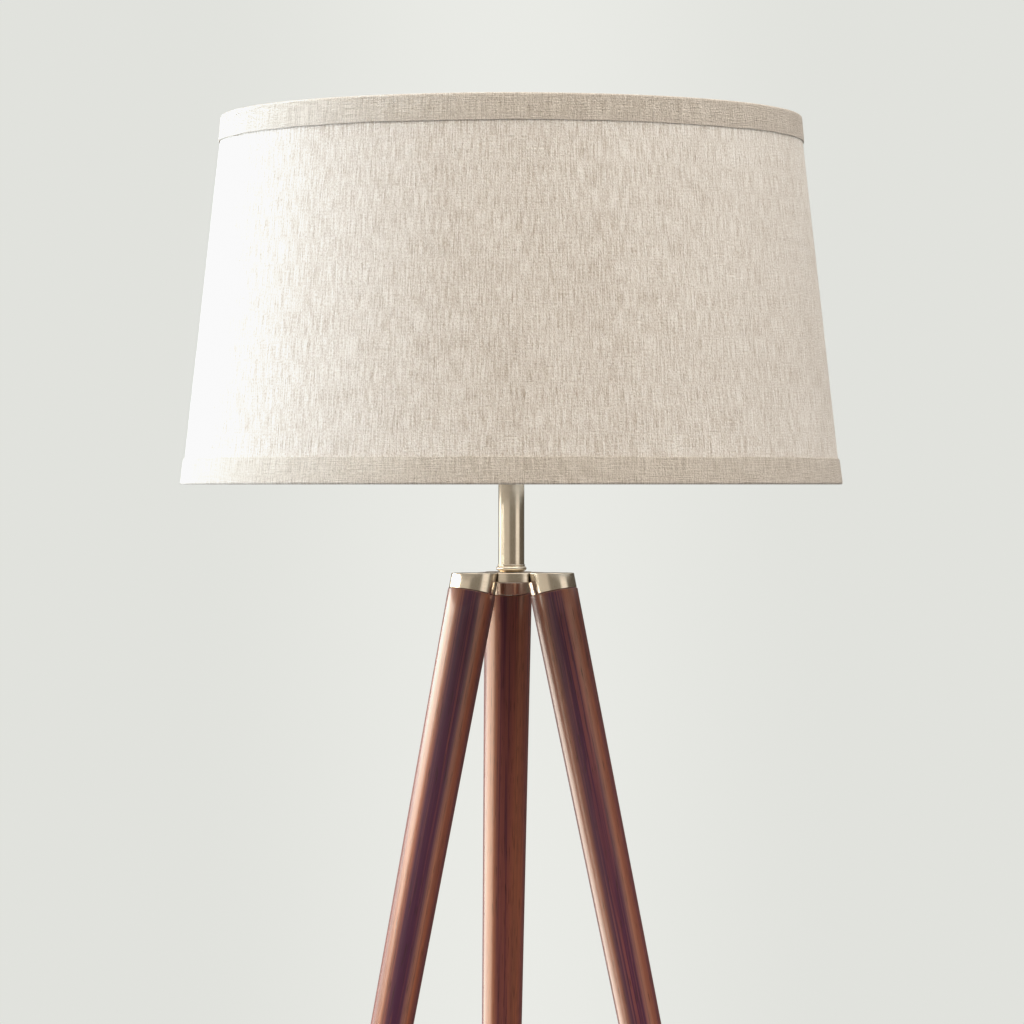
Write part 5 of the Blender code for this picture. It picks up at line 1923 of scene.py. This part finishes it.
@dataclass
class Studio:
    """The camera, the pale floor and backdrop, and soft light that comes mostly from one side."""

    distance: float = 3.00
    bearing: float = math.radians(3.8)
    eye: float = 1.246
    dip: float = math.radians(0.365)
    aside: float = math.radians(0.009)
    lens: float = 151.97
    film_width: float = 36.0
    view_end: float = 100.0
    floor_reach: float = 1.4
    floor_sink: float = 0.0002
    floor_dark: Colour = (0.255, 0.258, 0.248)
    floor_pale: Colour = (0.275, 0.278, 0.268)
    backdrop: Colour = (0.752, 0.760, 0.723)
    pool: Colour = (0.817, 0.825, 0.786)
    pool_reach: float = 0.078
    light_distance: float = 2.2
    overhead_bearing: float = math.radians(24.0)
    overhead_far: Colour = (1.58, 1.51, 1.40)
    overhead_near: Colour = (2.68, 2.55, 2.38)
    below_shine: Colour = (0.16, 0.085, 0.07)
    below_matt: Colour = (0.28, 0.28, 0.31)
    knee: float = 0.87
    brightest: float = 3.0

    def camera(self) -> None:
        """Stands the camera in front of the lamp, turned a little to one side, at the height of the
        shade's lower edge."""
        data = bpy.data.cameras.new("studio_camera")
        data.lens = self.lens
        data.sensor_width = self.film_width
        data.clip_end = self.view_end
        obj = bpy.data.objects.new("studio_camera", data)
        bpy.context.scene.collection.objects.link(obj)
        away = Vector((-math.sin(self.bearing), -math.cos(self.bearing), 0.0))
        obj.location = Vector((0.0, LAMP_AXIS_Y, self.eye)) + away * self.distance
        ahead = -self.towards(-self.aside)
        look = ahead * math.cos(self.dip) + Vector((0.0, 0.0, -math.sin(self.dip)))
        obj.rotation_euler = look.to_track_quat("-Z", "Y").to_euler()
        bpy.context.scene.camera = obj

    def towards(self, bearing: float) -> Vector:
        """The level direction at a bearing to the right of the way from lamp to camera."""
        turn = bearing - self.bearing
        return Vector((math.sin(turn), -math.cos(turn), 0.0))

    def panel(self, box: SoftBox) -> None:
        """Stands a soft light so that it faces the lamp.

        Args:
            box: what the light is and where it stands.
        """
        data = bpy.data.lights.new(box.name, "AREA")
        data.shape = "RECTANGLE"
        data.size, data.size_y = box.size
        data.energy = box.power
        data.color = box.colour
        obj = bpy.data.objects.new(box.name, data)
        bpy.context.scene.collection.objects.link(obj)
        way = self.towards(math.radians(box.bearing))
        spot = Vector((0.0, LAMP_AXIS_Y, 0.0)) + way * self.light_distance
        obj.location = (spot.x, spot.y, box.height)
        obj.visible_diffuse, obj.visible_glossy = box.role.value
        obj.rotation_euler = (-way).to_track_quat("-Z", "Y").to_euler()

    def along(self, bench: NodeBench, ray: bpy.types.NodeSocket, bearing: float) -> bpy.types.NodeSocket:
        """How far a ray goes towards a bearing: its dot product with that level direction.

        Args:
            bench: the bench on the world's tree.
            ray: the ray's direction.
            bearing: the bearing.

        Returns:
            The distance, -1 to 1.
        """
        facing = bench.node("ShaderNodeVectorMath", set_operation="DOT_PRODUCT")
        bench.tree.links.new(ray, facing.inputs[0])
        facing.inputs[1].default_value = self.towards(bearing)
        return facing.outputs["Value"]

    def surround(self) -> None:
        """Sets the room's soft light. At the lamp's height it varies with the bearing. Overhead it
        is brighter, most of all towards the front right. From below it is dim, and a little
        brighter on matt things than in shiny ones. What the camera itself sees behind the lamp is
        one pale colour with a faint pool of light down its middle."""
        world = bpy.data.worlds.new("studio")
        world.use_nodes = True
        world.node_tree.nodes.clear()
        bench = NodeBench(world.node_tree)
        ray = bench.node("ShaderNodeTexCoord").outputs["Generated"]
        split = bench.node("ShaderNodeSeparateXYZ", Vector=ray)
        turn = bench.math("ARCTAN2", split.outputs[0], bench.math("MULTIPLY", split.outputs[1], -1.0))
        share = bench.math("ADD", bench.math("DIVIDE", turn, 2 * math.pi), 0.5)
        ramp = bench.node("ShaderNodeValToRGB", Fac=share)
        ramp.color_ramp.interpolation = "EASE"
        points = ramp.color_ramp.elements
        for number, (bearing, colour) in enumerate(ROOM_GLOW):
            spot = (math.radians(bearing) - self.bearing) / (2 * math.pi) + 0.5
            spot = min(max(spot, 0.0), 1.0)
            point = points[number] if number < 2 else points.new(spot)
            point.position = spot
            point.color = rgba(colour)
        up = bench.ramp(split.outputs[2], 0.22, 0.75)
        down = bench.ramp(split.outputs[2], -0.38, -0.12, 1.0, 0.0)
        lean = bench.ramp(self.along(bench, ray, self.overhead_bearing), -0.6, 0.6)
        above = bench.mixed(lean, rgba(self.overhead_far), rgba(self.overhead_near))
        sides = bench.mixed(up, ramp.outputs[0], above)
        matt = bench.node("ShaderNodeLightPath").outputs["Is Diffuse Ray"]
        below = bench.mixed(matt, rgba(self.below_shine), rgba(self.below_matt))
        sides = bench.mixed(down, sides, below)
        beside = bench.math("ABSOLUTE", self.along(bench, ray, math.radians(90.0)))
        pool = bench.ramp(beside, 0.0, self.pool_reach, 1.0, 0.0)
        wall = bench.mixed(pool, rgba(self.backdrop), rgba(self.pool))
        seen = bench.node("ShaderNodeLightPath").outputs["Is Camera Ray"]
        colour = bench.mixed(seen, sides, wall)
        light = bench.node("ShaderNodeBackground", Color=colour, Strength=1.0)
        bench.node("ShaderNodeOutputWorld", Surface=light.outputs[0])
        bpy.context.scene.world = world

    def floor(self) -> None:
        """Lays a round pale floor that fades into the backdrop at its edge. Its underside is clear,
        so it hides nothing from below."""
        rings = np.linspace(0, self.floor_reach, 9)
        line = np.stack([rings[::-1], np.full(len(rings), -self.floor_sink)], axis=-1)
        obj = mesh_object("studio_floor", turned(line, 96))
        mat = bpy.data.materials.new("studio_floor")
        mat.use_nodes = True
        mat.node_tree.nodes.clear()
        bench = NodeBench(mat.node_tree)
        place = bench.node("ShaderNodeTexCoord").outputs["Object"]
        size = bench.node("ShaderNodeVectorMath", set_operation="LENGTH")
        bench.tree.links.new(place, size.inputs[0])
        fade = bench.ramp(size.outputs["Value"], self.floor_reach * 0.35, self.floor_reach * 0.97)
        back = bench.node("ShaderNodeNewGeometry").outputs["Backfacing"]
        gone = bench.math("MAXIMUM", fade, back)
        fine = bench.noise(bench.scaled(place, 30, 30, 30), 3.0)
        pale = bench.mixed(fine, rgba(self.floor_dark), rgba(self.floor_pale))
        cloth = bench.node("ShaderNodeBsdfPrincipled", Base_Color=pale, Roughness=0.8)
        clear = bench.node("ShaderNodeBsdfTransparent")
        bench.node("ShaderNodeOutputMaterial", Surface=bench.laid_over(gone, cloth, clear))
        obj.data.materials.append(mat)

    def shoulder(self, view: bpy.types.ColorManagedViewSettings) -> None:
        """Bends the brightest tones over gently in place of a hard clip: a straight line up to the
        knee, and then an exponential approach to white.

        Args:
            view: the scene's view settings.
        """
        view.use_curve_mapping = True
        mapping = view.curve_mapping
        mapping.use_clip = False
        mapping.extend = "HORIZONTAL"
        knee, room = self.knee, 1 - self.knee
        curve = mapping.curves[3]
        curve.points[0].location = (0.0, 0.0)
        curve.points[1].location = (self.brightest, 1.0)
        for x in (0.4, 0.7, knee, 0.92, 0.98, 1.06, 1.2, 1.5, 2.1):
            y = x if x <= knee else knee + room * (1 - math.exp((knee - x) / room))
            point = curve.points.new(x, y)
            point.handle_type = "AUTO_CLAMPED"
        mapping.update()

    def build(self) -> None:
        """Sets up the whole studio."""
        view = bpy.context.scene.view_settings
        view.view_transform = "Standard"
        view.look = "None"
        self.shoulder(view)
        self.camera()
        self.surround()
        self.floor()
        self.panel(WINDOW)
        self.panel(FILL)
        for card in CARDS:
            self.panel(card.box())
        LOG.info("studio ready")


def main() -> None:
    """Builds the studio and the lamp, from the floor up."""
    logging.basicConfig(level=logging.INFO, format="%(name)s %(message)s")
    Studio().build()
    for side in LegSide:
        leg = TripodLeg(side)
        leg.build()
        leg.dress()
    Hub().build()
    holder = LampHolder()
    holder.build()
    holder.dress()
    harp = Harp()
    harp.build()
    harp.dress()
    DrumShade().build()
    Finial().build()


if __name__ == "__main__":
    main()
